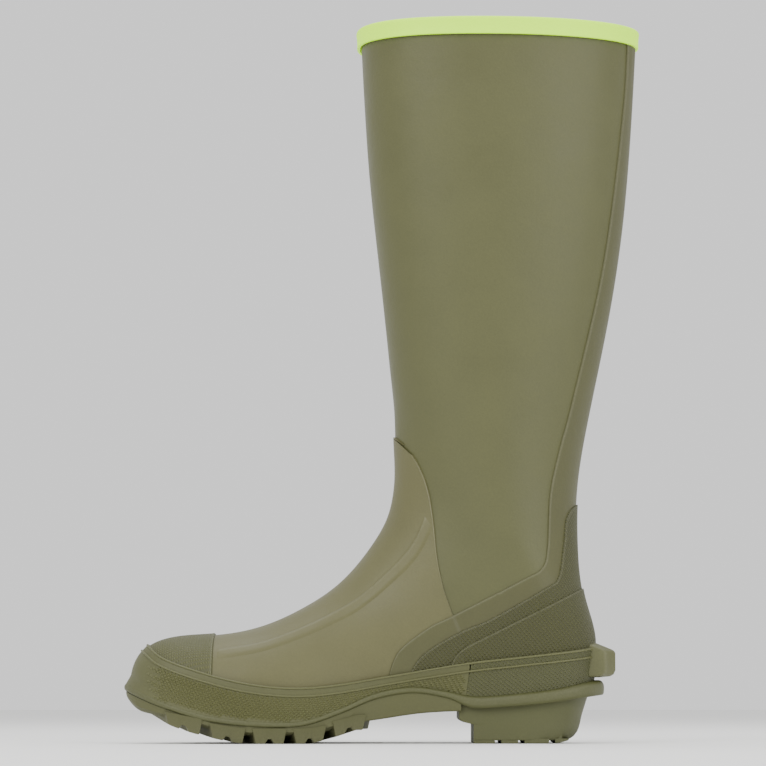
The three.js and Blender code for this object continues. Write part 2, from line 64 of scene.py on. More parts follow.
# Each section's lower end (x, z), upper end (x, z), medial and lateral y at its widest, where along
# it that is, and the superellipse exponents of its lower and upper parts.
SECTIONS = [
    (-150, 38, -150, 38, -10, -10, 0.42, 2.6, 2.2),
    (-146, 28, -147, 51.5, -28, 9, 0.42, 2.7, 2.2),
    (-138, 22.8, -138, 61.5, -38.5, 20.5, 0.4, 2.8, 2.3),
    (-119, 18.6, -120, 66.3, -47, 33.5, 0.36, 3, 2.3),
    (-97, 14.8, -96, 68.2, -51, 43.5, 0.33, 3.2, 2.2),
    (-72, 12.3, -68, 74.2, -51.5, 50, 0.31, 3.2, 2.1),
    (-42, 13.2, -40, 87.3, -47, 51, 0.3, 3.2, 2),
    (-8, 19.5, -16, 105, -40, 47.5, 0.3, 3.2, 1.95),
    (30, 25, 3.3, 129, -36.5, 42.5, 0.32, 3.4, 1.95),
    (71, 27.5, 13.1, 149, -37, 39.5, 0.35, 3.6, 2),
    (112, 31.5, 16.3, 171, -38, 38.5, 0.39, 3.4, 2.05),
    (140.5, 57, 15.7, 192, -39.5, 39.5, 0.44, 2.5, 2.1),
    (135.2, 92, 15, 213, -40.5, 40.5, 0.48, 2.2, 2.15),
    (131.2, 132, 12.5, 238, -42, 42, 0.5, 2.1, 2.2),
    (134, 178, 9, 272, -45, 45, 0.52, 2, 2.25),
    (148, 248, 3.5, 322, -49.5, 49.5, 0.54, 2, 2.3),
    (164, 346, -2.6, 386, -53, 53, 0.56, 2, 2.35),
    (173.6, 486, -8, 486, -55.5, 55.5, 0.57, 2, 2.4),
]
TOP = len(SECTIONS) - 1

SOLE_EDGE = [
    (149.6, 0), (146.2, 18.5), (131, 35), (100, 42.5), (62, 44.5), (26, 49.5), (-14, 56.5), (-52, 59.2),
    (-86, 54), (-116, 42.5), (-139, 23), (-152, 2), (-157.4, -14), (-150.5, -33.5), (-131, -50.5),
    (-98, -58.6), (-64, -58.6), (-24, -48.6), (22, -39.8), (62, -40.6), (100, -42.4), (131, -35),
    (146.2, -18.5),
]
FOXING_TOP = [
    (-165, 65), (-143, 61.5), (-130, 52.4), (-102, 43), (-74, 37), (-47, 35.2), (-20, 37.5), (18, 44),
    (60, 51.3), (95, 55.5), (132, 60.5), (160, 66),
]
WELT_TOP = [
    (-165, 42), (-150, 35), (-130, 26.5), (-102, 18.5), (-72, 14.8), (-43, 14.8), (-18, 23), (3, 32),
    (26, 36), (48, 33.2), (64, 30), (84, 30.7), (112, 33.5), (140, 38.5), (165, 43),
]
WELT_LOW = [
    (-165, 37.6), (-150, 30.1), (-130, 22.1), (-102, 14), (-72, 10.6), (-43, 11), (-18, 19.2), (3, 27.8),
    (26, 31.8), (48, 28.6), (64, 22.5), (84, 23), (112, 25.5), (140, 29.5), (165, 33),
]
TREAD = [
    (-165, 40), (-150, 23), (-138, 17), (-120, 9.4), (-98, 3.4), (-76, 0), (-42, 0), (-26, 3.2), (-9, 8.6),
]
WAIST = [(-6, 13.6), (6, 15.3), (28, 18.6), (44, 19.9), (57, 20.4)]
VAMP_EDGE = [
    (15.5, 195.5), (23.8, 187.8), (31.7, 175), (37.2, 159), (40.3, 139), (42.4, 117), (46.4, 97),
    (52.2, 80.2), (58, 62), (62, 20),
]
BACKSTAY_EDGE = [
    (165.8, 462), (163.2, 411), (149.4, 308), (128.5, 218), (120, 186.5), (113.8, 158), (112, 125),
    (108.4, 111), (96, 103.2), (52, 80.7), (37.4, 73.5), (19.4, 60), (12.7, 48), (9, 30),
]
COUNTER_EDGE = [
    (137, 156.5), (128.3, 150.4), (123.6, 142), (121.8, 126), (118.2, 105), (110, 97.8), (76.4, 78.8),
    (56.2, 70.4), (34.2, 57), (25, 45), (20, 30),
]
LOW_COUNTER_EDGE = [(150, 108), (131, 96.8), (110.7, 86.4), (79.2, 70.6), (58, 59.5), (50.7, 49.5), (46, 30)]
RIB_LINE = [
    (-97, 55.5), (-68.3, 60.5), (-40.1, 70.9), (-13.2, 84.5), (-1.1, 93.1), (10.9, 103.8), (23.2, 116),
    (31.7, 128.1), (37, 141),
]
CAP_EDGE = -99.6  # rear edge of the toe cap
SMOOTH_TOE = -133.0  # the foxing is smooth ahead of this
JOINT_X = 62.5  # where the heel foxing butts on the front one
BREAST = 65.0  # front face of the heel
BINDING_TOP, BINDING_FOOT = 462.0, 450.5


def smooth(points: Sequence[tuple[float, float]], count: int = 10, closed: bool = False) -> np.ndarray:
    """Runs a smooth line through drawn points.

    Args:
        points: the drawn points.
        count: steps from one point to the next.
        closed: whether the line comes back to its start.

    Returns:
        The line's points, as rows of two.
    """
    p = np.array(points, float)
    n = len(p)
    spans = range(n if closed else n - 1)
    at = (lambda i: p[i % n]) if closed else (lambda i: p[min(max(i, 0), n - 1)])
    t = (np.arange(count) / count)[:, None]
    runs = []
    for i in spans:
        a, b, c, d = at(i - 1), at(i), at(i + 1), at(i + 2)
        square, cube = 2 * a - 5 * b + 4 * c - d, 3 * b - a - 3 * c + d
        runs.append(0.5 * (2 * b + (c - a) * t + square * t**2 + cube * t**3))
    if not closed:
        runs.append(p[-1:])
    return np.concatenate(runs)


def height_on(line: np.ndarray, x: np.ndarray) -> np.ndarray:
    """Gives the height of a side-view line at each x."""
    return np.interp(x, line[:, 0], line[:, 1])


class Skin:
    """The outer face of the rubber shell: a smooth surface through fanned sections."""

    def __init__(self) -> None:
        """Fits a smooth curve through each column of the drawn sections, mirrored round the toe."""
        rows = np.array(SECTIONS, float)
        mirror = rows[2:0:-1][:, [2, 3, 0, 1, 5, 4, 6, 7, 8]]
        self.knots = np.concatenate([mirror, rows])
        self.first = -2
        n = len(self.knots)
        system = np.eye(n)
        right = np.zeros_like(self.knots)
        for i in range(1, n - 1):
            system[i, i - 1 : i + 2] = 1, 4, 1
            right[i] = 6 * (self.knots[i - 1] - 2 * self.knots[i] + self.knots[i + 1])
        self.bends = np.linalg.solve(system, right)

    def section(self, s: np.ndarray) -> np.ndarray:
        """Gives the nine numbers of the section at each station."""
        u = np.asarray(s, float) - self.first
        i = np.clip(np.floor(u).astype(int), 0, len(self.knots) - 2)
        t = (u - i)[..., None]
        a, b, ma, mb = self.knots[i], self.knots[i + 1], self.bends[i], self.bends[i + 1]
        return (1 - t) * a + t * b + ((1 - t) ** 3 - (1 - t)) * ma / 6 + (t**3 - t) * mb / 6

    def bare(self, s: np.ndarray, angle: np.ndarray) -> np.ndarray:
        """Gives the skin's points at stations and angles, the angle from the top over the medial side."""
        q = self.section(s)
        low, high, medial, lateral, widest = q[..., 0:2], q[..., 2:4], q[..., 4], q[..., 5], q[..., 6]
        up, out = np.cos(angle), np.sin(angle)
        power = 2 / np.where(up >= 0, q[..., 8], q[..., 7])
        reach = np.abs(up) ** power
        share = np.where(up >= 0, widest + (1 - widest) * reach, widest * (1 - reach))[..., None]
        y = (medial + lateral) / 2 - np.sign(out) * (lateral - medial) / 2 * np.abs(out) ** power
        side = low + (high - low) * share
        return np.stack([side[..., 0], y, side[..., 1]], -1)

    def normal(self, s: np.ndarray, angle: np.ndarray) -> np.ndarray:
        """Gives the outward unit normals at stations and angles."""
        tiny = 2e-3
        along = self.bare(s + tiny, angle) - self.bare(s - tiny, angle)
        around = self.bare(s, angle + tiny) - self.bare(s, angle - tiny)
        n = np.cross(around, along)
        size = np.linalg.norm(n, axis=-1, keepdims=True)
        ahead = np.array([-1.0, 0, 0])
        return np.where(size > 1e-7, n / np.maximum(size, 1e-12), ahead)

    def point(self, s: np.ndarray, angle: np.ndarray, out: np.ndarray | float = 0.0) -> np.ndarray:
        """Gives points at a distance outside the skin.

        Args:
            s: stations, from the toe's tip to the top of the leg.
            angle: angles from the section's upper end, over the medial side.
            out: millimetres outside the skin.

        Returns:
            Points in the drawing's millimetres.
        """
        s, angle = np.broadcast_arrays(np.asarray(s, float), np.asarray(angle, float))
        return self.bare(s, angle) + self.normal(s, angle) * np.asarray(out)[..., None]

    def crossing(self, line: np.ndarray, s: np.ndarray) -> np.ndarray:
        """Finds the angle at which each section crosses a side-view line.

        Args:
            line: the line's points (x, z).
            s: stations.

        Returns:
            Angles from 0 to pi on the medial side, and nan where a section misses the line.
        """
        q = self.section(s)
        low, run = q[:, None, 0:2], q[:, None, 2:4] - q[:, None, 0:2]
        start, step = line[None, :-1], (line[1:] - line[:-1])[None]
        cross = run[..., 0] * step[..., 1] - run[..., 1] * step[..., 0]
        cross = np.where(np.abs(cross) < 1e-9, 1e-9, cross)
        gap = start - low
        share = (gap[..., 0] * step[..., 1] - gap[..., 1] * step[..., 0]) / cross
        along = (gap[..., 0] * run[..., 1] - gap[..., 1] * run[..., 0]) / cross
        good = (share >= 0) & (share <= 1) & (along >= 0) & (along <= 1)
        found = np.where(good.any(1), share[np.arange(len(share)), good.argmax(1)], np.nan)
        widest = q[:, 6]
        upper = np.clip((found - widest) / (1 - widest), 0, 1) ** (q[:, 8] / 2)
        lower = np.clip(1 - found / widest, 0, 1) ** (q[:, 7] / 2)
        below = np.where(found < widest, np.arccos(-lower), np.nan)
        return np.where(found >= widest, np.arccos(upper), below)


SKIN = Skin()


def origin_shift() -> np.ndarray:
    """Gives the move from the drawing's origin to the frame's, in millimetres, from the heel spur."""
    low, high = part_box("kick_lug")
    return np.array([high.x / MM - SPUR_BACK, (low.y + high.y) / 2 / MM, low.z / MM - SPUR_FOOT])


SHIFT = origin_shift()


def to_frame(points: np.ndarray) -> np.ndarray:
    """Turns drawn millimetres into metres in the frame."""
    return (np.asarray(points) + SHIFT) * MM


# ------------------------------------------------------------------ finishes
def linear(hex_colour: str) -> tuple[float, float, float, float]:
    """Turns an sRGB hex colour into linear light."""
    parts = [int(hex_colour[i : i + 2], 16) / 255 for i in (1, 3, 5)]
    red, green, blue = (c / 12.92 if c <= 0.04045 else ((c + 0.055) / 1.055) ** 2.4 for c in parts)
    return red, green, blue, 1.0


def node(tree: bpy.types.NodeTree, kind: str, inputs: Optional[dict] = None, **settings) -> bpy.types.Node:
    """Adds a node to a tree.

    Args:
        tree: the shader or geometry tree.
        kind: the node's type.
        inputs: a value or an output socket for each named or numbered input.
        **settings: the node's own settings.

    Returns:
        The new node.
    """
    made = tree.nodes.new(kind)
    for key, value in settings.items():
        setattr(made, key, value)
    for key, value in (inputs or {}).items():
        if isinstance(value, bpy.types.NodeSocket):
            tree.links.new(value, made.inputs[key])
        else:
            made.inputs[key].default_value = value
    return made


class Relief(Enum):
    """The fine relief that a mould leaves on a ply, or the make of a cloth."""

    PLAIN = "plain"
    RIBS = "diagonal ribs, broken into short beads"
    DOTS = "fine dots"
    KNIT = "knit"
    WEAVE = "weave"
    FOAM = "foam"
    BRUSHED = "brushed"


@dataclass(frozen=True)
class Finish:
    """One real material and how its surface was made."""

    name: str
    colour: str
    relief: Relief = Relief.PLAIN
    roughness: float = 0.5
    mottle: float = 0.07  # how far the colour wanders either way
    bloom_and_highlight: str = "#a9a892"  # colour of the pale rims: partly worn bloom, partly a painted highlight
    bloom_and_highlight_share: float = 0.5  # how much of it shows there
    metallic: float = 0.0
    sheen: float = 0.0
    pitch: float = 2.4  # millimetres from one dot, rib or thread to the next
    depth: float = 0.25  # millimetres from the relief's hollows to its tops
    tilt: float = 40.0  # degrees that the relief is turned on its texture places
    shade: float = 0.16  # how much darker the hollows are painted, as shade; the tops are painted lighter, as highlight
    painted_glow: float = 0.0  # emission painted on as a glow, though the part is no lamp

    def material(self) -> bpy.types.Material:
        """Builds the material once and gives it back after that."""
        found = bpy.data.materials.get(self.name)
        return found or self._build()

    def _build(self) -> bpy.types.Material:
        """Builds the node tree: mottled colour, pale rims of worn bloom and painted highlight, roughness and
        relief.
        """
        made = bpy.data.materials.new(self.name)
        made.use_nodes = True
        tree = made.node_tree
        tree.nodes.clear()
        shader = node(tree, "ShaderNodeBsdfPrincipled")
        tree.links.new(shader.outputs[0], node(tree, "ShaderNodeOutputMaterial").inputs[0])
        shader.inputs["Metallic"].default_value = self.metallic
        shader.inputs["IOR"].default_value = 1.5
        shader.inputs["Specular IOR Level"].default_value = 0.5 if self.metallic else 0.42
        shader.inputs["Sheen Weight"].default_value = self.sheen
        # Painted glow: an emission in the finish's own colour, though no finish here is a lamp.
        shader.inputs["Emission Color"].default_value = linear(self.colour)
        shader.inputs["Emission Strength"].default_value = self.painted_glow
        place = node(tree, "ShaderNodeTexCoord").outputs["Object"]
        clouds = node(tree, "ShaderNodeTexNoise",
                      {"Vector": place, "Scale": 30.0, "Detail": 5.0, "Roughness": 0.6})
        grain = node(tree, "ShaderNodeTexNoise", {"Vector": place, "Scale": 900.0, "Detail": 3.0})
        base = linear(self.colour)
        dark = tuple(c * (1 - self.mottle) for c in base[:3]) + (1.0,)
        light = tuple(min(1.0, c * (1 + self.mottle)) for c in base[:3]) + (1.0,)
        blend = node(tree, "ShaderNodeMath", {0: clouds.outputs[0], 1: grain.outputs[0]}, operation="ADD")
        spread = node(tree, "ShaderNodeMapRange", {0: blend.outputs[0], 1: 0.7, 2: 1.3, 3: 0.0, 4: 1.0})
        colour = node(tree, "ShaderNodeMix", {0: spread.outputs[0], 6: dark, 7: light}, data_type="RGBA")
        # Pale rims: partly worn bloom, partly a painted highlight along the edges, mixed into the colour.
        rim = node(tree, "ShaderNodeAttribute", attribute_name="rim")
        bloom_and_highlight_rim = node(tree, "ShaderNodeMath", {0: rim.outputs["Fac"], 1: grain.outputs[0]},
                      operation="MULTIPLY")
        share = node(tree, "ShaderNodeMath", {0: bloom_and_highlight_rim.outputs[0], 1: 2 * self.bloom_and_highlight_share},
                     operation="MULTIPLY")
        rimmed = node(tree, "ShaderNodeMix",
                      {0: share.outputs[0], 6: colour.outputs[2], 7: linear(self.bloom_and_highlight)}, data_type="RGBA")
        tree.links.new(rimmed.outputs[2], shader.inputs["Base Color"])
        gloss = node(tree, "ShaderNodeMapRange",
                     {0: clouds.outputs[0], 1: 0.3, 2: 0.7,
                      3: self.roughness - 0.05, 4: self.roughness + 0.07})
        tree.links.new(gloss.outputs[0], shader.inputs["Roughness"])
        skin = node(tree, "ShaderNodeBump",
                    {"Strength": 0.35, "Distance": 0.12 * MM, "Height": grain.outputs[0]})
        slow = node(tree, "ShaderNodeBump", {"Strength": 0.8, "Distance": 0.9 * MM,
                                             "Height": clouds.outputs[0], "Normal": skin.outputs[0]})
        relief = self._relief(tree, place)
        last = slow
        if relief is not None:
            # Painted shade in the relief's hollows and a painted highlight on its tops, scaled into the
            # colour.
            hollow = node(tree, "ShaderNodeMapRange",
                          {0: relief, 1: 0.0, 2: 0.8, 3: 1 - self.shade, 4: 1 + self.shade / 2})
            shaded = node(tree, "ShaderNodeVectorMath", {0: rimmed.outputs[2], "Scale": hollow.outputs[0]},
                          operation="SCALE")
            tree.links.new(shaded.outputs[0], shader.inputs["Base Color"])
            last = node(tree, "ShaderNodeBump", {"Strength": 1.0, "Distance": self.depth * MM,
                                                 "Height": relief, "Normal": slow.outputs[0]})
        tree.links.new(last.outputs[0], shader.inputs["Normal"])
        return made

    def _relief(self, tree: bpy.types.NodeTree,
                place: bpy.types.NodeSocket) -> Optional[bpy.types.NodeSocket]:
        """Adds the height pattern of the relief.

        Args:
            tree: the material's tree.
            place: the Object coordinates.

        Returns:
            The pattern's height socket, or None on a plain face.
        """
        per_metre = 1 / (self.pitch * MM)
        if self.relief is Relief.PLAIN:
            return None
        if self.relief is Relief.FOAM:
            return node(tree, "ShaderNodeTexVoronoi", {"Vector": place, "Scale": per_metre}).outputs[0]
        if self.relief is Relief.BRUSHED:
            drawn = node(tree, "ShaderNodeMapping", {0: place, "Scale": (0.05, 1.0, 1.0)})
            lines = node(tree, "ShaderNodeTexNoise", {"Vector": drawn.outputs[0], "Scale": per_metre})
            return lines.outputs[0]
        flat = node(tree, "ShaderNodeUVMap").outputs[0]
        turn = (0.0, 0.0, math.radians(self.tilt))
        turned = node(tree, "ShaderNodeMapping", {0: flat, "Rotation": turn}).outputs[0]
        parts = node(tree, "ShaderNodeSeparateXYZ", {0: turned}).outputs
        waves = []
        for part in (parts[0], parts[1]):
            phase = node(tree, "ShaderNodeMath", {0: part, 1: 2 * math.pi * per_metre}, operation="MULTIPLY")
            waves.append(node(tree, "ShaderNodeMath", {0: phase.outputs[0]}, operation="SINE").outputs[0])
        if self.relief is Relief.RIBS:
            breaks = node(tree, "ShaderNodeMapRange", {0: waves[1], 1: -1.0, 2: 1.0, 3: 0.1, 4: 1.0})
            ribs = node(tree, "ShaderNodeMath", {0: waves[0], 1: 0.0}, operation="MAXIMUM").outputs[0]
            ribs = node(tree, "ShaderNodeMath", {0: ribs, 1: breaks.outputs[0]}, operation="MULTIPLY")
            return ribs.outputs[0]
        product = node(tree, "ShaderNodeMath", {0: waves[0], 1: waves[1]}, operation="MULTIPLY").outputs[0]
        if self.relief is Relief.DOTS:
            return node(tree, "ShaderNodeMath", {0: product, 1: 0.0}, operation="MAXIMUM").outputs[0]
        return product


# Vulcanised natural rubber, calendered and cured on the last: an even satin face with a faint
# mottle, and a pale rim along its edges that is partly worn bloom and partly a painted highlight.
LEG_RUBBER = Finish("calendered_leg_rubber", "#515230", roughness=0.46, bloom_and_highlight_share=0.15)
VAMP_RUBBER = Finish("calendered_vamp_rubber", "#5b5937", roughness=0.48, bloom_and_highlight_share=0.15)
STAY_RUBBER = Finish("calendered_backstay_rubber", "#4b4b2b", roughness=0.5, bloom_and_highlight_share=0.08)
# Rubber embossed by an engraved roller: the relief breaks the shine, so it looks drier and darker, and shade
# is painted into its hollows.
# The relief's real pitch, near 1 mm, is too fine to show, so it is drawn about twice as coarse.
CAP_RUBBER = Finish("dotted_toe_rubber", "#555631", Relief.DOTS, roughness=0.55, bloom_and_highlight_share=0.12,
                    pitch=2.2, depth=0.4, tilt=45, shade=0.3)
COUNTER_RUBBER = Finish("pebbled_counter_rubber", "#4c4d28", Relief.RIBS, roughness=0.6, bloom_and_highlight_share=0.12,
                        pitch=2.0, depth=0.7, tilt=-40, shade=0.4)
HEEL_FOXING_RUBBER = Finish("ribbed_foxing_rubber", "#535532", Relief.RIBS, roughness=0.6,
                            bloom_and_highlight_share=0.12, pitch=1.9, depth=0.6, tilt=-50, shade=0.36)
# Moulded rubber with more filler, for wear: duller, with a pale rim on its edges that is partly dusty bloom
# and partly a painted highlight.
FOXING_RUBBER = Finish("moulded_foxing_rubber", "#505130", roughness=0.58, bloom_and_highlight_share=0.3)
WELT_RUBBER = Finish("moulded_welt_rubber", "#454723", roughness=0.56, bloom_and_highlight_share=0.3)
LUG_RUBBER = Finish("moulded_spur_rubber", "#545533", roughness=0.5, bloom_and_highlight_share=0.08)
SOLE_RUBBER = Finish("moulded_sole_rubber", "#4f5030", roughness=0.66, bloom_and_highlight_share=0.3)
HEEL_RUBBER = Finish("moulded_heel_rubber", "#4b4d2d", roughness=0.62, bloom_and_highlight_share=0.2)
# The raised beads and diamonds get a glossier skin and a lighter colour, which is a painted highlight.
BEAD_RUBBER = Finish("highlit_glossy_bead_rubber", "#575835", roughness=0.46)
# The band has a bright lime colour and a painted glow: an emission that makes it look lit from inside, though
# it is no lamp.
BINDING_RUBBER = Finish("painted_glow_binding_rubber", "#c2ff00", roughness=0.55, mottle=0.04,
                        bloom_and_highlight="#e9f0b8", bloom_and_highlight_share=0.1, painted_glow=0.45)
# Circular-knitted polyester: matt, with a faint pile that catches light at grazing angles.
KNIT = Finish("knitted_lining", "#4a4a3c", Relief.KNIT, 0.9, sheen=0.3, pitch=1.6, depth=0.4, tilt=45)
BED_CLOTH = Finish("knitted_footbed_cover", "#4c4d42", Relief.KNIT, 0.9, sheen=0.3, pitch=1.4,
                   depth=0.3, tilt=45)
# Plain-woven tape: matt, with a square grain.
FACING_CLOTH = Finish("woven_facing", "#55543f", Relief.WEAVE, 0.85, sheen=0.2, pitch=1.4, depth=0.3,
                      tilt=0)
# Blown rubber and foam: matt, with an open cell at every cut face.
FOAM = Finish("closed_cell_foam", "#2c2c2e", Relief.FOAM, 0.85, pitch=0.9, depth=0.2)
SPONGE = Finish("sponge_rubber", "#3a382e", Relief.FOAM, 0.85, pitch=1.4, depth=0.4)
# Pressed cellulose fibre and fused sheet: pale and dry, with a short fibrous grain.
BOARD = Finish("pressed_fibre_board", "#a08c68", Relief.FOAM, 0.9, pitch=0.8, depth=0.1)
STIFFENER_SHEET = Finish("fused_stiffener_sheet", "#8a8474", Relief.FOAM, 0.7, pitch=0.8, depth=0.1)
# Cold-rolled steel strip: a soft shine drawn out along the foot by the rolling lines.
STEEL = Finish("rolled_shank_steel", "#9a9c9e", Relief.BRUSHED, 0.35, metallic=1.0, pitch=0.6, depth=0.02)
# Matt emulsion paint: a plain ground with no shine.
FLOOR_PAINT = Finish("painted_floor", "#f4f4f2", roughness=0.8, mottle=0.0)


# ------------------------------------------------------------------ mesh making
@dataclass
class Sheet:
    """One face of a piece as a grid of points, with its texture places and its pale rims, partly worn bloom
    and partly painted highlight.
    """

    points: np.ndarray
    uv: np.ndarray
    rim: Optional[np.ndarray] = None


def grid_faces(rows: int, cols: int, closed: bool, start: int = 0,
               flip: bool = False) -> tuple[np.ndarray, np.ndarray]:
    """Lists the quads of a grid.

    Args:
        rows: rows of points.
        cols: columns of points.
        closed: whether the last column joins the first.
        start: index of the grid's first point.
        flip: whether to turn the faces over.

    Returns:
        The quads, and for each corner its place in a grid of rows by cols + closed.
    """
    wide = cols + closed
    r, c = np.meshgrid(np.arange(rows - 1), np.arange(wide - 1), indexing="ij")
    r, c = r.ravel(), c.ravel()
    corners_r = np.stack([r, r, r + 1, r + 1], 1)
    corners_c = np.stack([c, c + 1, c + 1, c], 1)
    if flip:
        corners_r, corners_c = corners_r[:, ::-1], corners_c[:, ::-1]
    return start + corners_r * cols + corners_c % cols, corners_r * wide + corners_c


def make_object(name: str, points: np.ndarray, faces: Sequence, corner_uv: Optional[np.ndarray],
                rim: Optional[np.ndarray], finish: Finish, sharp: float = 40.0) -> bpy.types.Object:
    """Makes a mesh object with its place in its mesh.

    Args:
        name: the piece's name.
        points: points in the drawing's millimetres.
        faces: lists of point indices.
        corner_uv: texture place of each face corner, in metres.
        rim: how much pale bloom and painted highlight each point gets, 0 to 1.
        finish: the material.
        sharp: edges bent more than this, in degrees, are shaded sharp.

    Returns:
        The new object, linked to the scene.
    """
    mesh = bpy.data.meshes.new(name)
    mesh.from_pydata(to_frame(points).tolist(), [], [list(map(int, f)) for f in faces])
    if corner_uv is not None:
        mesh.uv_layers.new(name="UVMap").data.foreach_set("uv", np.asarray(corner_uv, np.float32).ravel())
    wear = np.zeros(len(points)) if rim is None else rim
    mesh.attributes.new("rim", "FLOAT", "POINT").data.foreach_set("value", np.asarray(wear, np.float32))
    work = bmesh.new()
    work.from_mesh(mesh)
    bmesh.ops.remove_doubles(work, verts=work.verts, dist=1e-6)
    bmesh.ops.recalc_face_normals(work, faces=work.faces)
    work.to_mesh(mesh)
    work.free()
    mesh.shade_smooth()
    mesh.set_sharp_from_angle(angle=math.radians(sharp))
    mesh.materials.append(finish.material())
    made = bpy.data.objects.new(name, mesh)
    bpy.context.scene.collection.objects.link(made)
    return made


def solid_between(name: str, outer: Sheet, inner: np.ndarray, closed: bool, finish: Finish,
                  pole: bool = False, sharp: float = 40.0) -> bpy.types.Object:
    """Makes a closed piece from its outer and inner faces.

    Args:
        name: the piece's name.
        outer: the outer face.
        inner: the inner face's points, on the same grid.
        closed: whether the grid's columns go all the way round.
        finish: the material.
        pole: whether the first row is a single point.
        sharp: edges bent more than this, in degrees, are shaded sharp.

    Returns:
        The new object.
    """
    rows, cols = outer.points.shape[:2]
    count = rows * cols
    points = np.concatenate([outer.points.reshape(-1, 3), inner.reshape(-1, 3)])
    places = outer.uv.reshape(-1, 2)
    faces, at = grid_faces(rows, cols, closed)
    back, back_at = grid_faces(rows, cols, closed, count, True)
    all_faces, all_uv = [faces, back], [places[at], places[back_at]]
    borders = [] if pole else [(np.arange(cols), np.arange(cols))]
    borders.append(((rows - 1) * cols + np.arange(cols), (rows - 1) * (cols + closed) + np.arange(cols)))
    if not closed:
        borders.append((np.arange(rows) * cols, np.arange(rows) * cols))
        borders.append((np.arange(rows) * cols + cols - 1, np.arange(rows) * cols + cols - 1))
    for index, place in borders:
        ring = closed and len(index) == cols
        a, b = index, np.roll(index, -1)
        pa, pb = place, np.roll(place, -1)
        if not ring:
            a, b, pa, pb = a[:-1], b[:-1], pa[:-1], pb[:-1]
        all_faces.append(np.stack([a, b, b + count, a + count], 1))
        all_uv.append(places[np.stack([pa, pb, pb, pa], 1)])
    rim = None
    if outer.rim is not None:
        rim = np.concatenate([outer.rim.ravel(), np.zeros(count)])
    corner_uv = np.concatenate(all_uv).reshape(-1, 2)
    return make_object(name, points, np.concatenate(all_faces), corner_uv, rim, finish, sharp)


def spread_angles(s: np.ndarray, start: np.ndarray, end: np.ndarray, distances: Callable[[float], np.ndarray],
                  out: float) -> tuple[np.ndarray, np.ndarray]:
    """Spaces points along each section by real distance.

    Args:
        s: one station for each row.
        start: first angle of each row.
        end: last angle of each row.
        distances: gives the points' distances from the start, for a row of a given length.
        out: millimetres outside the skin at which to measure.

    Returns:
        The angles, and the distances.
    """
    dense = np.linspace(0, 1, 241)
    angles, measured = [], []
    for station, a0, a1 in zip(s, start, end):
        fine = a0 + (a1 - a0) * dense
        points = SKIN.point(np.full_like(fine, station), fine, out)
        steps = np.linalg.norm(np.diff(points, axis=0), axis=1)
        length = np.concatenate([[0], np.cumsum(steps)])
        wanted = distances(length[-1])
        angles.append(np.interp(wanted, length, fine))
        measured.append(wanted)
    return np.array(angles), np.array(measured)


RIM_STEPS = np.array([0, 0.08, 0.25, 0.5, 0.8, 1.1, 1.4, 1.7, 2.1, 2.6, 3.2])


def edged(count: int) -> Callable[[float], np.ndarray]:
    """Gives a spacing with close points at both ends and even ones between."""

    def spacing(length: float) -> np.ndarray:
        """Gives the distances for one row."""
        rim = RIM_STEPS * min(1.0, length / (2.5 * RIM_STEPS[-1]))
        middle = np.linspace(rim[-1], length - rim[-1], count + 2)[1:-1]
        return np.concatenate([rim, middle, (length - rim)[::-1]])

    return spacing


def edge_height(distance: np.ndarray, thickness: np.ndarray | float, bead: float) -> np.ndarray:
    """Gives a ply's height near its edge: a rounded step, then a low bead.

    Args:
        distance: millimetres from the edge.
        thickness: the ply's full thickness.
        bead: height of the bead above the ply.

    Returns:
        Heights above the face that the ply is laid on.
    """
    turn = np.clip(1 - distance / 0.8, 0, 1)
    ridge = np.exp(-(((distance - 1.3) / 0.55) ** 2))
    return thickness * np.sqrt(1 - turn**2) + bead * ridge


def edge_bloom_and_highlight(distance: np.ndarray) -> np.ndarray:
    """Gives the pale rim near a ply's edge, most on the bead: partly worn bloom, partly a painted highlight.
    """
    return np.exp(-(((distance - 0.9) / 0.6) ** 2))


def wrap_uv(points: np.ndarray) -> np.ndarray:
    """Gives texture places that run round the heel: distance round it, and height, in metres."""
    centre, radius = 95.0, 40.0
    x, y, z = points[..., 0], points[..., 1], points[..., 2]
    side = np.sign(y + 1e-9)
    round_part = radius * np.arctan2(np.abs(y), np.maximum(x - centre, 1e-6))
    straight = radius * math.pi / 2 + (centre - x)
    u = side * np.where(x > centre, round_part, straight)
    return np.stack([u, z], -1) * MM


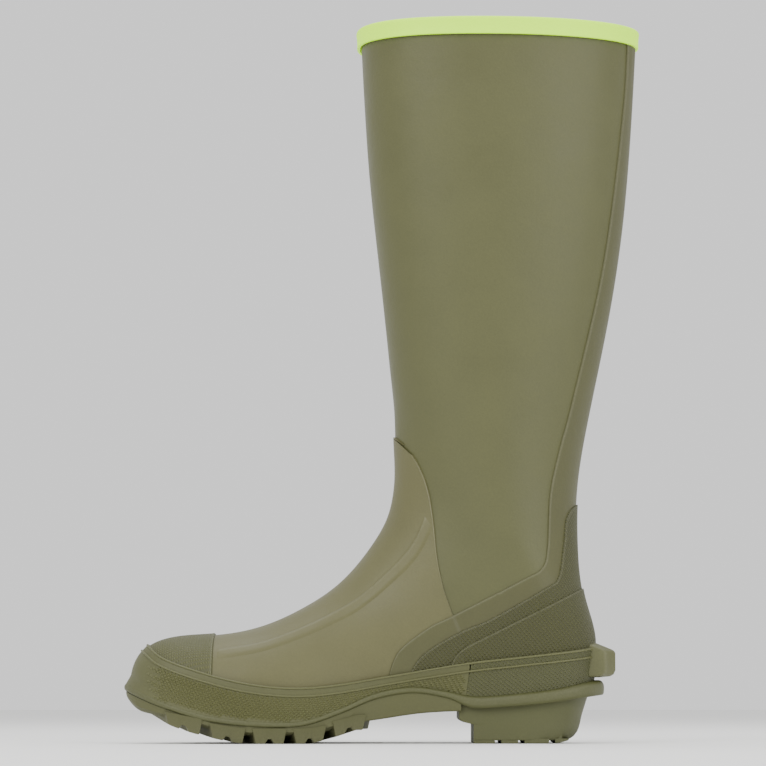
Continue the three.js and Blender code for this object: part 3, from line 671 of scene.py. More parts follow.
# ------------------------------------------------------------------ geometry-node tools
@dataclass
class NodeTool:
    """A geometry-node tree with named sizes, run on a seed mesh to make a plain mesh."""

    name: str
    sizes: dict[str, float] = field(default_factory=dict)

    def start(self) -> tuple[bpy.types.GeometryNodeTree, bpy.types.Node]:
        """Makes the tree and its inputs.

        Returns:
            The tree and its input node.
        """
        tree = bpy.data.node_groups.new(self.name, "GeometryNodeTree")
        tree.interface.new_socket("Geometry", in_out="INPUT", socket_type="NodeSocketGeometry")
        for size in self.sizes:
            tree.interface.new_socket(size, in_out="INPUT", socket_type="NodeSocketFloat")
        tree.interface.new_socket("Finish", in_out="INPUT", socket_type="NodeSocketMaterial")
        tree.interface.new_socket("Geometry", in_out="OUTPUT", socket_type="NodeSocketGeometry")
        return tree, node(tree, "NodeGroupInput")

    def close(self, tree: bpy.types.GeometryNodeTree, shape: bpy.types.NodeSocket,
              given: bpy.types.Node) -> None:
        """Ends the tree: real geometry and the finish.

        Args:
            tree: the tree.
            shape: the socket that gives the shape.
            given: the tree's input node.
        """
        real = node(tree, "GeometryNodeRealizeInstances", {0: shape})
        painted = node(tree, "GeometryNodeSetMaterial",
                       {0: real.outputs[0], "Material": given.outputs["Finish"]})
        node(tree, "NodeGroupOutput", {0: painted.outputs[0]})

    def run(self, tree: bpy.types.GeometryNodeTree, name: str, seed: bpy.types.Mesh,
            finish: Finish) -> bpy.types.Object:
        """Runs the tree on a seed mesh.

        Args:
            tree: the finished tree.
            name: the new piece's name.
            seed: the points or lines that the tree works on.
            finish: the material.

        Returns:
            A plain mesh object.
        """
        carrier = bpy.data.objects.new(name + "_seed", seed)
        bpy.context.scene.collection.objects.link(carrier)
        modifier = carrier.modifiers.new(self.name, "NODES")
        modifier.node_group = tree
        for item in tree.interface.items_tree:
            if item.in_out != "INPUT" or item.name == "Geometry":
                continue
            value = finish.material() if item.name == "Finish" else self.sizes[item.name] * MM
            modifier[item.identifier] = value
        bpy.context.view_layer.update()
        evaluated = carrier.evaluated_get(bpy.context.evaluated_depsgraph_get())
        mesh = bpy.data.meshes.new_from_object(evaluated)
        mesh.name = name
        carrier.modifiers.remove(modifier)
        bpy.data.objects.remove(carrier)
        made = bpy.data.objects.new(name, mesh)
        bpy.context.scene.collection.objects.link(made)
        return made


def studs(name: str, places: np.ndarray, normals: np.ndarray, runs: np.ndarray,
          size: tuple[float, float, float], finish: Finish) -> bpy.types.Object:
    """Sets low four-sided pyramids on a face.

    Args:
        name: the piece's name.
        places: where they stand, in drawn millimetres.
        normals: the face's normal at each.
        runs: the direction of each one's long diagonal.
        size: length, width and height in millimetres.
        finish: the material.

    Returns:
        The new object.
    """
    length, width, height = size
    tool = NodeTool("moulded_diamonds", {"Length": length, "Width": width, "Height": height})
    tree, given = tool.start()
    cone = node(tree, "GeometryNodeMeshCone", {"Vertices": 4, "Radius Top": 0.0, "Radius Bottom": 0.5,
                                               "Depth": given.outputs["Height"]}, fill_type="NONE")
    up = node(tree, "GeometryNodeInputNamedAttribute", {"Name": "outward"}, data_type="FLOAT_VECTOR")
    run = node(tree, "GeometryNodeInputNamedAttribute", {"Name": "run"}, data_type="FLOAT_VECTOR")
    turn = node(tree, "FunctionNodeAxesToRotation", {0: up.outputs[0], 1: run.outputs[0]},
                primary_axis="Z", secondary_axis="X")
    scale = node(tree, "ShaderNodeCombineXYZ",
                 {0: given.outputs["Length"], 1: given.outputs["Width"], 2: 1.0})
    placed = node(tree, "GeometryNodeInstanceOnPoints",
                  {"Points": given.outputs["Geometry"], "Instance": cone.outputs["Mesh"],
                   "Rotation": turn.outputs[0], "Scale": scale.outputs[0]})
    tool.close(tree, placed.outputs[0], given)
    seed = bpy.data.meshes.new(name + "_seed")
    seed.from_pydata(to_frame(places).tolist(), [], [])
    for key, values in (("outward", normals), ("run", runs)):
        attribute = seed.attributes.new(key, "FLOAT_VECTOR", "POINT")
        attribute.data.foreach_set("vector", values.astype(np.float32).ravel())
    return tool.run(tree, name, seed, finish)


def beads(name: str, loops: Sequence[np.ndarray], radius: float, finish: Finish) -> bpy.types.Object:
    """Runs a round bead along closed loops.

    Args:
        name: the piece's name.
        loops: each loop's points in drawn millimetres.
        radius: the bead's radius in millimetres.
        finish: the material.

    Returns:
        The new object.
    """
    tool = NodeTool("round_bead", {"Radius": radius})
    tree, given = tool.start()
    curve = node(tree, "GeometryNodeMeshToCurve", {0: given.outputs["Geometry"]})
    ring = node(tree, "GeometryNodeCurvePrimitiveCircle",
                {"Resolution": 8, "Radius": given.outputs["Radius"]})
    swept = node(tree, "GeometryNodeCurveToMesh", {0: curve.outputs[0], 1: ring.outputs[0]})
    round_face = node(tree, "GeometryNodeSetShadeSmooth", {0: swept.outputs[0]})
    tool.close(tree, round_face.outputs[0], given)
    seed = bpy.data.meshes.new(name + "_seed")
    edges, start = [], 0
    for loop in loops:
        edges += [(start + i, start + (i + 1) % len(loop)) for i in range(len(loop))]
        start += len(loop)
    seed.from_pydata(to_frame(np.concatenate(loops)).tolist(), edges, [])
    return tool.run(tree, name, seed, finish)


# ------------------------------------------------------------------ faces of the boot
def settle(piece: bpy.types.Object, nodes: Sequence[str] = (),
           body: str = BODY) -> bpy.types.Object:
    """Rides a piece on its body and hides the frame nodes that it stands for.

    Args:
        piece: the finished piece.
        nodes: the frame nodes that it stands for.
        body: the body that it moves with.

    Returns:
        The same piece.
    """
    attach(piece, body)
    if nodes:
        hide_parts(*nodes)
    LOG.info("%s: %d faces", piece.name, len(piece.data.polygons))
    return piece


def station_where(axis: int, value: float, angles: np.ndarray, out: float, low: float,
                  high: float) -> np.ndarray:
    """Finds the station at which each angle's line reaches a coordinate.

    Args:
        axis: 0 for x, 2 for z.
        value: the coordinate in drawn millimetres.
        angles: the angles.
        out: millimetres outside the skin.
        low: a station below the answer.
        high: a station above it.

    Returns:
        One station for each angle.
    """
    a, b = np.full_like(angles, low, float), np.full_like(angles, high, float)
    for _ in range(40):
        middle = (a + b) / 2
        under = SKIN.point(middle, angles, out)[..., axis] < value
        a, b = np.where(under, middle, a), np.where(under, b, middle)
    return (a + b) / 2


def length_uv(points: np.ndarray, closed: bool) -> np.ndarray:
    """Gives texture places by distance along rows and columns, in metres."""
    wide = np.concatenate([points, points[:, :1]], 1) if closed else points
    across = np.linalg.norm(np.diff(wide, axis=1), axis=2).mean(0)
    along = np.linalg.norm(np.diff(points, axis=0), axis=2).mean(1)
    u = np.concatenate([[0], np.cumsum(across)])
    v = np.concatenate([[0], np.cumsum(along)])
    return np.stack(np.broadcast_arrays(u[None, :], v[:, None]), -1) * MM


def wrapped(s_start: float, s_end: np.ndarray | float, rows: int, cols: int) -> tuple[np.ndarray, np.ndarray]:
    """Gives a grid of stations and angles that goes all the way round the boot.

    Args:
        s_start: first station.
        s_end: last station, for each column or for all.
        rows: number of rows.
        cols: number of columns.

    Returns:
        The stations and the angles.
    """
    angles = np.linspace(0, 2 * math.pi, cols, endpoint=False)
    share = np.linspace(0, 1, rows)[:, None]
    stations = s_start + (np.broadcast_to(s_end, cols)[None, :] - s_start) * share
    return stations, np.broadcast_to(angles, stations.shape)


def round_angles(cols: int) -> np.ndarray:
    """Gives the angles of a wrapped grid's columns."""
    return np.linspace(0, 2 * math.pi, cols, endpoint=False)


def layer_piece(name: str, s_start: float, s_end: np.ndarray | float, inner: float, outer: float, rows: int,
                cols: int, finish: Finish) -> bpy.types.Object:
    """Makes one wrapped layer of the boot between two distances from the skin."""
    s, angle = wrapped(s_start, s_end, rows, cols)
    face = SKIN.point(s, angle, outer)
    return solid_between(name, Sheet(face, length_uv(face, True)), SKIN.point(s, angle, inner), True, finish,
                         pole=s_start == 0)


@dataclass
class Carcass:
    """The rubber shell, the foam and the lining, each in a leg and a forefoot part."""

    shell: float = 1.8
    foam: float = 3.0
    lining: float = 0.9
    gap: float = 0.3  # clear between one layer and the next
    edge: float = 460.1  # height of the leg's cut edge, under the binding
    joint: float = 8.9  # station where the forefoot meets the leg, under the vamp
    cols: int = 144

    def layers(self) -> list[tuple[str, float, float, Finish, str]]:
        """Gives each layer's name, inner and outer distance, finish and slot."""
        foam_out = -self.shell - self.gap
        foam_in = foam_out - self.foam
        lining_out = foam_in - self.gap
        return [
            ("shell", -self.shell, 0.0, LEG_RUBBER, "leg_rubber"),
            ("insulation", foam_in, foam_out, FOAM, "insulation_foam"),
            ("lining", lining_out - self.lining, lining_out, KNIT, "lining_knit"),
        ]

    def build(self) -> None:
        """Builds both parts of every layer."""
        for name, inner, outer, finish, slot in self.layers():
            fine = name == "shell"
            top = station_where(2, self.edge, round_angles(self.cols), outer, 14.0, TOP)
            rows = 170 if fine else 80
            leg = layer_piece(f"leg_{name}_face", self.joint, top, inner, outer, rows, self.cols, finish)
            settle(leg, [f"leg_{name}"])
            front = layer_piece(f"forefoot_{name}_face", 0, self.joint - 0.02, inner, outer, 60, 96, finish)
            settle(front, [f"forefoot_{name}"])


def ply_between(name: str, s: np.ndarray, start: np.ndarray, end: np.ndarray,
                ground: Callable[[np.ndarray], np.ndarray], thickness: float, bead: float, cols: int,
                finish: Finish, heel_uv: bool = False) -> bpy.types.Object:
    """Lays a rubber ply on the boot between two angles at each station.

    Args:
        name: the piece's name.
        s: stations of the rows.
        start: first angle of each row.
        end: last angle of each row.
        ground: gives how far outside the skin the face it is laid on stands, at points on the skin.
        thickness: its thickness.
        bead: height of the bead along its edges.
        cols: even columns between the close ones at the edges.
        finish: the material.
        heel_uv: whether its texture runs round the heel.

    Returns:
        The new object.
    """
    angles, distance = spread_angles(s, start, end, edged(cols), 1.0)
    total = distance[:, -1:]
    near = np.minimum(distance, total - distance)
    lift = edge_height(near, thickness, bead)
    stations = np.broadcast_to(s[:, None], angles.shape)
    base = ground(SKIN.point(stations, angles, 1.0))
    face = SKIN.point(stations, angles, base + lift)
    under = SKIN.point(stations, angles, base - 0.3)
    uv = wrap_uv(face) if heel_uv else length_uv(face, False)
    # Pale rims along the ply's edges: partly worn bloom, partly a painted highlight.
    return solid_between(name, Sheet(face, uv, edge_bloom_and_highlight(near)), under, False, finish)


def toward(start: float, end: float, count: int, power: float = 2.0) -> np.ndarray:
    """Gives stations from start to end that bunch up at the end, where an outline turns over."""
    return end + (start - end) * (1 - np.linspace(0, 1, count)) ** power


def last_crossing(line: np.ndarray, low: float, high: float) -> float:
    """Finds the highest station at which a side-view line still crosses a section."""
    s = np.linspace(low, high, 1500)
    return float(s[~np.isnan(SKIN.crossing(line, s))].max())


@dataclass
class Plies:
    """The outer plies: vamp, toe cap, ribs, backstay and the two heel counters."""

    ply: float = 1.2
    rear_ply: float = 1.05
    bead: float = 0.12  # height of the pressed bead along each edge
    rib_width: float = 10.0
    rib_height: float = 1.0
    stay_end: float = 16.77  # station where the backstay stops, under the binding

    def over_edge(self, outline: Sequence[tuple[float, float]], points: np.ndarray,
                  front: bool) -> np.ndarray:
        """Gives how far a ply is lifted by another one under it.

        Args:
            outline: the lower ply's outline in side view.
            points: points on the skin.
            front: whether the lower ply lies ahead of its outline or behind it.

        Returns:
            Millimetres for each point, with a soft step at the outline.
        """
        line = smooth(outline)
        line = line[np.argsort(line[:, 1])]
        ahead = np.interp(points[..., 2], line[:, 1], line[:, 0]) - points[..., 0]
        t = np.clip((ahead if front else -ahead) / 2.4 + 0.5, 0, 1)
        return self.ply * t * t * (3 - 2 * t)

    def vamp(self) -> None:
        """Lays the vamp from under the toe cap to its peak on the shin."""
        edge, foot = smooth(VAMP_EDGE), smooth(WELT_TOP)
        peak = last_crossing(edge, 10.0, 12.0)
        s = np.concatenate([np.linspace(3.7, 9.0, 110, endpoint=False), toward(9.0, peak, 90)])
        side = SKIN.crossing(edge, s)
        low = SKIN.crossing(foot, s)
        reach = np.where(np.isnan(side), np.where(np.isnan(low), 2.6, low), side)
        made = ply_between("vamp_ply", s, -reach, reach, lambda p: np.zeros(p.shape[:-1]), self.ply,
                           self.bead, 90, VAMP_RUBBER)
        settle(made, ["vamp"])

    def toe_cap(self) -> None:
        """Lays the puff and the dotted toe cap over the toe."""
        cols = 160
        angles = round_angles(cols)
        for name, out, thickness, finish, slot, stands_for in (
            ("toe_puff_ply", 0.0, self.ply, STAY_RUBBER, "ply_rubber", "toe_puff"),
            ("toe_cap_ply", self.ply, self.ply, CAP_RUBBER, "toe_rubber", "toe_cap"),
        ):
            end = station_where(0, CAP_EDGE, angles, out, 1.0, 6.0)
            back = np.concatenate([np.linspace(0, 0.93, 70), 1 - RIM_STEPS[::-1] / 60])
            s = end[None, :] * back[:, None]
            face_angles = np.broadcast_to(angles, s.shape)
            flat = SKIN.point(s, face_angles, out)
            near = np.abs(CAP_EDGE - flat[..., 0])
            height = edge_height(near, thickness, self.bead)
            face = SKIN.point(s, face_angles, out + height)
            under = SKIN.point(s, face_angles, out - 0.2)
            uv = np.concatenate([face, face[:, :1]], 1)[..., [0, 1]] * MM
            # Pale rim along the cap's rear edge: partly worn bloom, partly a painted highlight.
            piece = solid_between(name, Sheet(face, uv, edge_bloom_and_highlight(near)), under, True, finish, pole=True)
            settle(piece, [stands_for])

    def ribs(self) -> None:
        """Lays the raised rib on each side of the vamp."""
        line = smooth(RIB_LINE)
        s = np.linspace(0, 12, 2400)
        s = s[~np.isnan(SKIN.crossing(line, s))]
        s = np.linspace(s.min(), s.max(), 180)
        middle = SKIN.crossing(line, s)
        good = ~np.isnan(middle)
        s, middle = s[good], middle[good]
        tiny = 0.01
        moved = SKIN.point(s, middle + tiny, 1) - SKIN.point(s, middle - tiny, 1)
        speed = np.linalg.norm(moved, axis=1) / (2 * tiny)
        half = self.rib_width / 2 / speed
        across = np.linspace(-1, 1, 25)
        ends = np.clip(np.minimum(np.arange(len(s)), len(s) - 1 - np.arange(len(s))) / 12, 0, 1)
        shape = (1 - across**4) ** 1.5
        for side, name in ((1, "medial"), (-1, "lateral")):
            angle = side * (middle[:, None] + half[:, None] * across[None, :])
            stations = np.broadcast_to(s[:, None], angle.shape)
            height = self.rib_height * shape[None, :] * np.sqrt(ends)[:, None]
            face = SKIN.point(stations, angle, self.ply - 0.05 + height)
            under = SKIN.point(stations, angle, np.full(angle.shape, self.ply - 0.4))
            # Painted highlight along the rib's upper side, mixed into its colour through the rim mask.
            rim = np.broadcast_to(0.5 * np.exp(-(((across + 0.55) / 0.2) ** 2)), angle.shape)
            sheet = Sheet(face, length_uv(face, False), rim)
            piece = solid_between(f"rib_{name}_bead", sheet, under, False, VAMP_RUBBER)
            settle(piece, [f"rib_{name}"])

    def rear(self) -> None:
        """Lays the backstay and, over it, the two heel counters."""
        for name, outline, level, finish, slot, node_name, cols in (
            ("backstay_ply", BACKSTAY_EDGE, 0, STAY_RUBBER, "backstay_rubber", "backstay", 110),
            ("heel_counter_ply", COUNTER_EDGE, 1, COUNTER_RUBBER, "counter_rubber", "heel_counter", 150),
            ("lower_heel_counter_ply", LOW_COUNTER_EDGE, 2, COUNTER_RUBBER, "counter_rubber",
             "lower_heel_counter", 150),
        ):
            edge = smooth(outline)
            s = np.linspace(6.5, TOP, 4000)
            found = s[~np.isnan(SKIN.crossing(edge, s))]
            low, high = found.min() + 0.01, found.max()
            if level == 0:
                rows = np.linspace(low, self.stay_end, 240)
            else:
                body_rows = np.linspace(low, high - 1, 110, endpoint=False)
                rows = np.concatenate([body_rows, toward(high - 1, high, 60)])
            start = SKIN.crossing(edge, rows)
            good = ~np.isnan(start)
            rows, start = rows[good], start[good]
            made = ply_between(name, rows, start, 2 * math.pi - start,
                               lambda p, level=level: level * 1.0 + self.over_edge(VAMP_EDGE, p, True),
                               self.rear_ply, self.bead, cols, finish, True)
            settle(made, [node_name])

    def build(self) -> None:
        """Builds every ply."""
        self.vamp()
        self.toe_cap()
        self.ribs()
        self.rear()


def ring_smooth(values: np.ndarray, width: int) -> np.ndarray:
    """Smooths values round a closed loop with a soft window.

    Args:
        values: one value, or one row, for each point of the loop.
        width: the window's odd width in points.

    Returns:
        The smoothed values.
    """
    window = np.hanning(width + 2)[1:-1]
    window /= window.sum()
    shifts = range(-(width // 2), width // 2 + 1)
    return sum(weight * np.roll(values, shift, 0) for weight, shift in zip(window, shifts))


def loop_on(line: np.ndarray, cols: int, out: float, lift: float = 0.0) -> tuple[np.ndarray, np.ndarray]:
    """Follows a side-view line all the way round the foot.

    Args:
        line: the line's points (x, z).
        cols: number of points round the loop.
        out: millimetres outside the skin.
        lift: millimetres by which the line is raised.

    Returns:
        Stations and angles, evenly spaced, from the toe over the medial side.
    """
    raised = line + np.array([0, lift])
    scan = np.linspace(0.002, 14, 7000)
    found = scan[~np.isnan(SKIN.crossing(raised, scan))]
    swing = (1 - np.cos(np.linspace(0, math.pi, 700))) / 2
    s = found.min() + (found.max() - found.min()) * swing
    angle = SKIN.crossing(raised, s)
    good = ~np.isnan(angle)
    s, angle = s[good], angle[good]
    low, high = s[0], s[-1]
    ends = [0.0 if angle[0] < math.pi / 2 else math.pi, math.pi]
    s = np.concatenate([[low], s, [high]])
    angle = np.concatenate([[ends[0]], angle, [ends[1]]])
    s = np.concatenate([s, s[-2:0:-1]])
    angle = np.concatenate([angle, 2 * math.pi - angle[-2:0:-1]])
    points = SKIN.point(s, angle, out)
    closed = np.concatenate([points, points[:1]])
    length = np.concatenate([[0], np.cumsum(np.linalg.norm(np.diff(closed, axis=0), axis=1))])
    wanted = np.linspace(0, length[-1], cols, endpoint=False)
    last_angle = 2 * math.pi if ends[0] == 0.0 else math.pi
    s_loop = np.interp(wanted, length, np.concatenate([s, [s[0]]]))
    a_loop = np.interp(wanted, length, np.concatenate([angle, [last_angle]]))
    ramp = np.linspace(0, 2 * math.pi, cols, endpoint=False)
    return ring_smooth(s_loop, 13), ring_smooth(a_loop - ramp, 13) + ramp


@dataclass
class Sidewall:
    """The foxing in two lengths, its beads, its raised diamonds, and the welt below it."""

    out: float = 4.5  # face of the foxing outside the skin, over the heel counters
    thin: float = 3.5  # the same, over the vamp and the toe
    under: float = 1.2  # its inner face
    strip: float = 6.0  # width of the smooth strip along its top
    bead: float = 0.7
    bead_stand: float = 0.2  # how far a bead's middle stands out of the face
    lap: float = 0.8  # how far it goes down behind the welt
    cols: int = 720
    diamond: tuple[float, float, float] = (2.9, 2.4, 0.95)
    row_pitch: float = 1.35
    first_row: float = 1.9  # from the strip to the first row of diamonds
    rows: int = 24

    def rim_line(self) -> tuple[np.ndarray, np.ndarray]:
        """Gives the line along which the foxing meets the welt, and the outward direction along it."""
        edge = plan_edge(0.0)
        edge = np.roll(edge, -int(np.argmin(edge[:, 0])), 0)
        ahead = np.roll(edge, -1, 0) - np.roll(edge, 1, 0)
        outward = np.stack([ahead[:, 1], -ahead[:, 0]], 1) / np.linalg.norm(ahead, axis=1)[:, None]
        inset = np.interp(edge[:, 0], [-157, -60, 20, 60, 130, 150], [0.7, 0.8, 1.6, 2.6, 4.2, 6.5])
        line = edge - outward * inset[:, None]
        closed = np.concatenate([line, line[:1]])
        length = np.concatenate([[0], np.cumsum(np.linalg.norm(np.diff(closed, axis=0), axis=1))])
        wanted = np.linspace(0, length[-1], self.cols, endpoint=False)
        turned = np.concatenate([outward, outward[:1]])
        x, y = (np.interp(wanted, length, closed[:, i]) for i in (0, 1))
        aside = np.stack([np.interp(wanted, length, turned[:, i]) for i in (0, 1)], 1)
        z = height_on(smooth(WELT_TOP), x) - self.lap
        return np.column_stack([x, y, z]), np.column_stack([aside, np.zeros(self.cols)])

    @cached_property
    def face(self) -> tuple[np.ndarray, np.ndarray, np.ndarray]:
        """The foxing's outer face, its inner face and the distance down from its top."""
        s, a = self.surface()
        out = np.interp(SKIN.point(s, a, self.out)[..., 0], [5, 45], [self.thin, self.out])
        flat = SKIN.point(s, a, out)
        foot, outward = self.rim_line()
        rows = []
        for share, row in zip(self.shares(), flat):
            chord = flat[0] + (foot - flat[0]) * share
            gaps = np.linalg.norm(chord[:, None] - row[None], axis=2)
            bulge = ((row[gaps.argmin(1)] - chord) * outward).sum(1)
            bulge = ring_smooth(np.where(bulge > 0, bulge, 0.0), 15) * (1 - share**6)
            blend = min(1.0, share / 0.12)
            rows.append(row * (1 - blend) + (chord + outward * bulge[:, None]) * blend)
        flat = np.array(rows)
        steps = np.linalg.norm(np.diff(flat, axis=0), axis=2)
        down = np.concatenate([np.zeros((1, self.cols)), np.cumsum(steps, 0)])
        turn = np.clip(1 - down / 1.4, 0, 1)
        back = (out - 2.0) * (1 - np.sqrt(1 - turn**2))
        face = flat - SKIN.normal(s, a) * back[..., None]
        return face, SKIN.point(s, a, np.full(s.shape, self.under)), down

    def shares(self) -> np.ndarray:
        """Gives each row's share of the way down."""
        return np.concatenate([[0, 0.01, 0.03, 0.06, 0.1], np.linspace(0.15, 1, 22)])

    def surface(self) -> tuple[np.ndarray, np.ndarray]:
        """Gives the foxing's stations and angles, row by row."""
        top, foot = smooth(FOXING_TOP), smooth(WELT_TOP)
        xs = np.linspace(-170, 165, 400)
        high, low = height_on(top, xs), height_on(foot, xs) - self.lap
        stations, angles = [], []
        for share in self.shares():
            s, a = loop_on(np.stack([xs, high + (low - high) * share], 1), self.cols, self.out)
            stations.append(s)
            angles.append(a)
        return np.array(stations), np.array(angles)

    def foxing(self) -> None:
        """Builds the front and heel foxing, with a rounded top edge."""
        face, under, down = self.face
        around = np.linalg.norm(np.diff(np.concatenate([face[10], face[10][:1]]), axis=0), axis=1)
        u = np.concatenate([[0], np.cumsum(around)])
        x = face[len(face) // 2, :, 0]
        front = np.where(x < JOINT_X)[0]
        split = np.where(np.diff(front) > 1)[0][0] + 1
        heel = np.arange(front[split - 1] + 1, front[split])
        runs = {
            "foxing_front_strip": (np.concatenate([front[split:] - self.cols, front[:split]]), FOXING_RUBBER,
                                   "foxing_rubber", "foxing_front"),
            "foxing_heel_strip": (heel, HEEL_FOXING_RUBBER, "counter_rubber", "foxing_heel"),
        }
        for name, (columns, finish, slot, node_name) in runs.items():
            places = np.where(columns < 0, columns + self.cols, columns)
            along = np.where(columns < 0, u[places] - u[-1], u[places])
            uv = np.stack(np.broadcast_arrays(along[None, :], -down[:, places]), -1) * MM
            # Pale band along the rounded top edge: partly dusty bloom, partly a painted highlight.
            rim = np.exp(-(((down[:, places] - 0.8) / 0.7) ** 2))
            made = solid_between(name, Sheet(face[:, places], uv, rim), under[:, places], False, finish)
            settle(made, [node_name])

    def level(self, drop: float) -> tuple[np.ndarray, np.ndarray]:
        """Gives a line along the foxing, and the way down the face from each of its points.

        Args:
            drop: how far down from the foxing's top it runs, in millimetres.

        Returns:
            The line's points, and the steps down.
        """
        face, _, down = self.face
        rows, columns = np.arange(len(face), dtype=float), np.arange(self.cols)
        at = np.array([np.interp(drop, down[:, c], rows) for c in columns])
        low = np.minimum(at.astype(int), len(face) - 2)
        part = (at - low)[:, None]
        loop = face[low, columns] * (1 - part) + face[low + 1, columns] * part
        return loop, face[low + 1, columns] - face[low, columns]

    def diamonds(self) -> None:
        """Sets the raised diamonds on the front foxing, in staggered rows below the smooth strip."""
        length, _, _ = self.diamond
        _, _, down = self.face
        places, outward, runs = [], [], []
        for row in range(self.rows):
            depth = self.strip + self.first_row + row * self.row_pitch
            loop, fall = self.level(depth)
            closed = np.concatenate([loop, loop[:1]])
            ahead = np.diff(closed, axis=0)
            reach = np.concatenate([[0], np.cumsum(np.linalg.norm(ahead, axis=1))])
            wanted = np.arange((row % 2) * length / 2, reach[-1] - length / 2, length)
            index = np.clip(np.searchsorted(reach, wanted) - 1, 0, self.cols - 1)
            run = ahead[index] / np.linalg.norm(ahead[index], axis=1)[:, None]
            spot = closed[index] + run * (wanted - reach[index])[:, None]
            normal = np.cross(fall[index], run)
            normal /= np.linalg.norm(normal, axis=1)[:, None]
            behind_toe = spot[:, 0] > SMOOTH_TOE - 4 * (row % 3)
            keep = behind_toe & (spot[:, 0] < JOINT_X - 3) & (depth < down[-1, index] - 1.2)
            places.append(spot[keep])
            outward.append(normal[keep])
            runs.append(run[keep])
        made = studs("foxing_diamonds", np.concatenate(places), np.concatenate(outward), np.concatenate(runs),
                     self.diamond, BEAD_RUBBER)
        settle(made)

    def bead_loops(self) -> None:
        """Runs the two beads that border the foxing's smooth strip."""
        loops = []
        for drop in (1.0, self.strip):
            loop, fall = self.level(drop)
            outward = np.cross(fall, np.roll(loop, -1, 0) - loop)
            outward /= np.linalg.norm(outward, axis=1)[:, None]
            loops.append(ring_smooth(loop + outward * self.bead_stand, 5))
        settle(beads("foxing_bead_pair", loops, self.bead, BEAD_RUBBER), ["foxing_bead"])

    def welt(self) -> None:
        """Builds the welt ring with rounded edges."""
        edge = smooth(SOLE_EDGE, 26, True)
        ahead = np.roll(edge, -1, 0) - np.roll(edge, 1, 0)
        outward = np.stack([ahead[:, 1], -ahead[:, 0]], 1) / np.linalg.norm(ahead, axis=1)[:, None]
        profile = [(-12.0, 1.0), (-3.4, 1.0), (-2.2, 0.97), (-1.3, 0.9), (-0.6, 0.79), (-0.15, 0.66),
                   (0.0, 0.5), (0.0, 0.3), (-0.2, 0.14), (-0.55, 0.04), (-1.0, 0.0), (-12.0, 0.0)]
        high, low = height_on(smooth(WELT_TOP), edge[:, 0]), height_on(smooth(WELT_LOW), edge[:, 0])
        rows = []
        for reach, share in profile:
            plan = edge + outward * reach
            z = low + (high - low) * share
            rows.append(np.column_stack([plan, z]))
        face = np.array(rows)
        rim = np.zeros(face.shape[:2])
        # Pale band on the welt's rounded outer face: partly dusty bloom, partly a painted highlight.
        rim[4:8] = 0.15
        inner = face.copy()
        inner[:, :, :2] = (edge + outward * -12.5)[None]
        made = solid_between("welt_ring", Sheet(face, length_uv(face, True), rim), inner, True, WELT_RUBBER)
        settle(made, ["welt"])

    def build(self) -> None:
        """Builds the sidewall."""
        self.foxing()
        self.diamonds()
        self.bead_loops()
        self.welt()


def plan_edge(inset: float) -> np.ndarray:
    """Gives the sole's edge in plan, moved inward, anticlockwise from the heel."""
    edge = smooth(SOLE_EDGE, 26, True)
    ahead = np.roll(edge, -1, 0) - np.roll(edge, 1, 0)
    outward = np.stack([ahead[:, 1], -ahead[:, 0]], 1) / np.linalg.norm(ahead, axis=1)[:, None]
    return edge - outward * inset


def plan_sides(edge: np.ndarray, x: np.ndarray) -> tuple[np.ndarray, np.ndarray]:
    """Gives the medial and lateral y of a plan outline at each x."""
    tip = int(np.argmin(edge[:, 0]))
    lateral, medial = edge[: tip + 1][::-1], np.concatenate([edge[tip:], edge[:1]])
    return np.interp(x, medial[:, 0], medial[:, 1]), np.interp(x, lateral[:, 0], lateral[:, 1])


def rounded(distance: np.ndarray, radius: float) -> np.ndarray:
    """Gives how far a face falls back near an edge rounded to a radius."""
    return radius * (1 - np.sqrt(1 - np.clip(1 - distance / radius, 0, 1) ** 2))


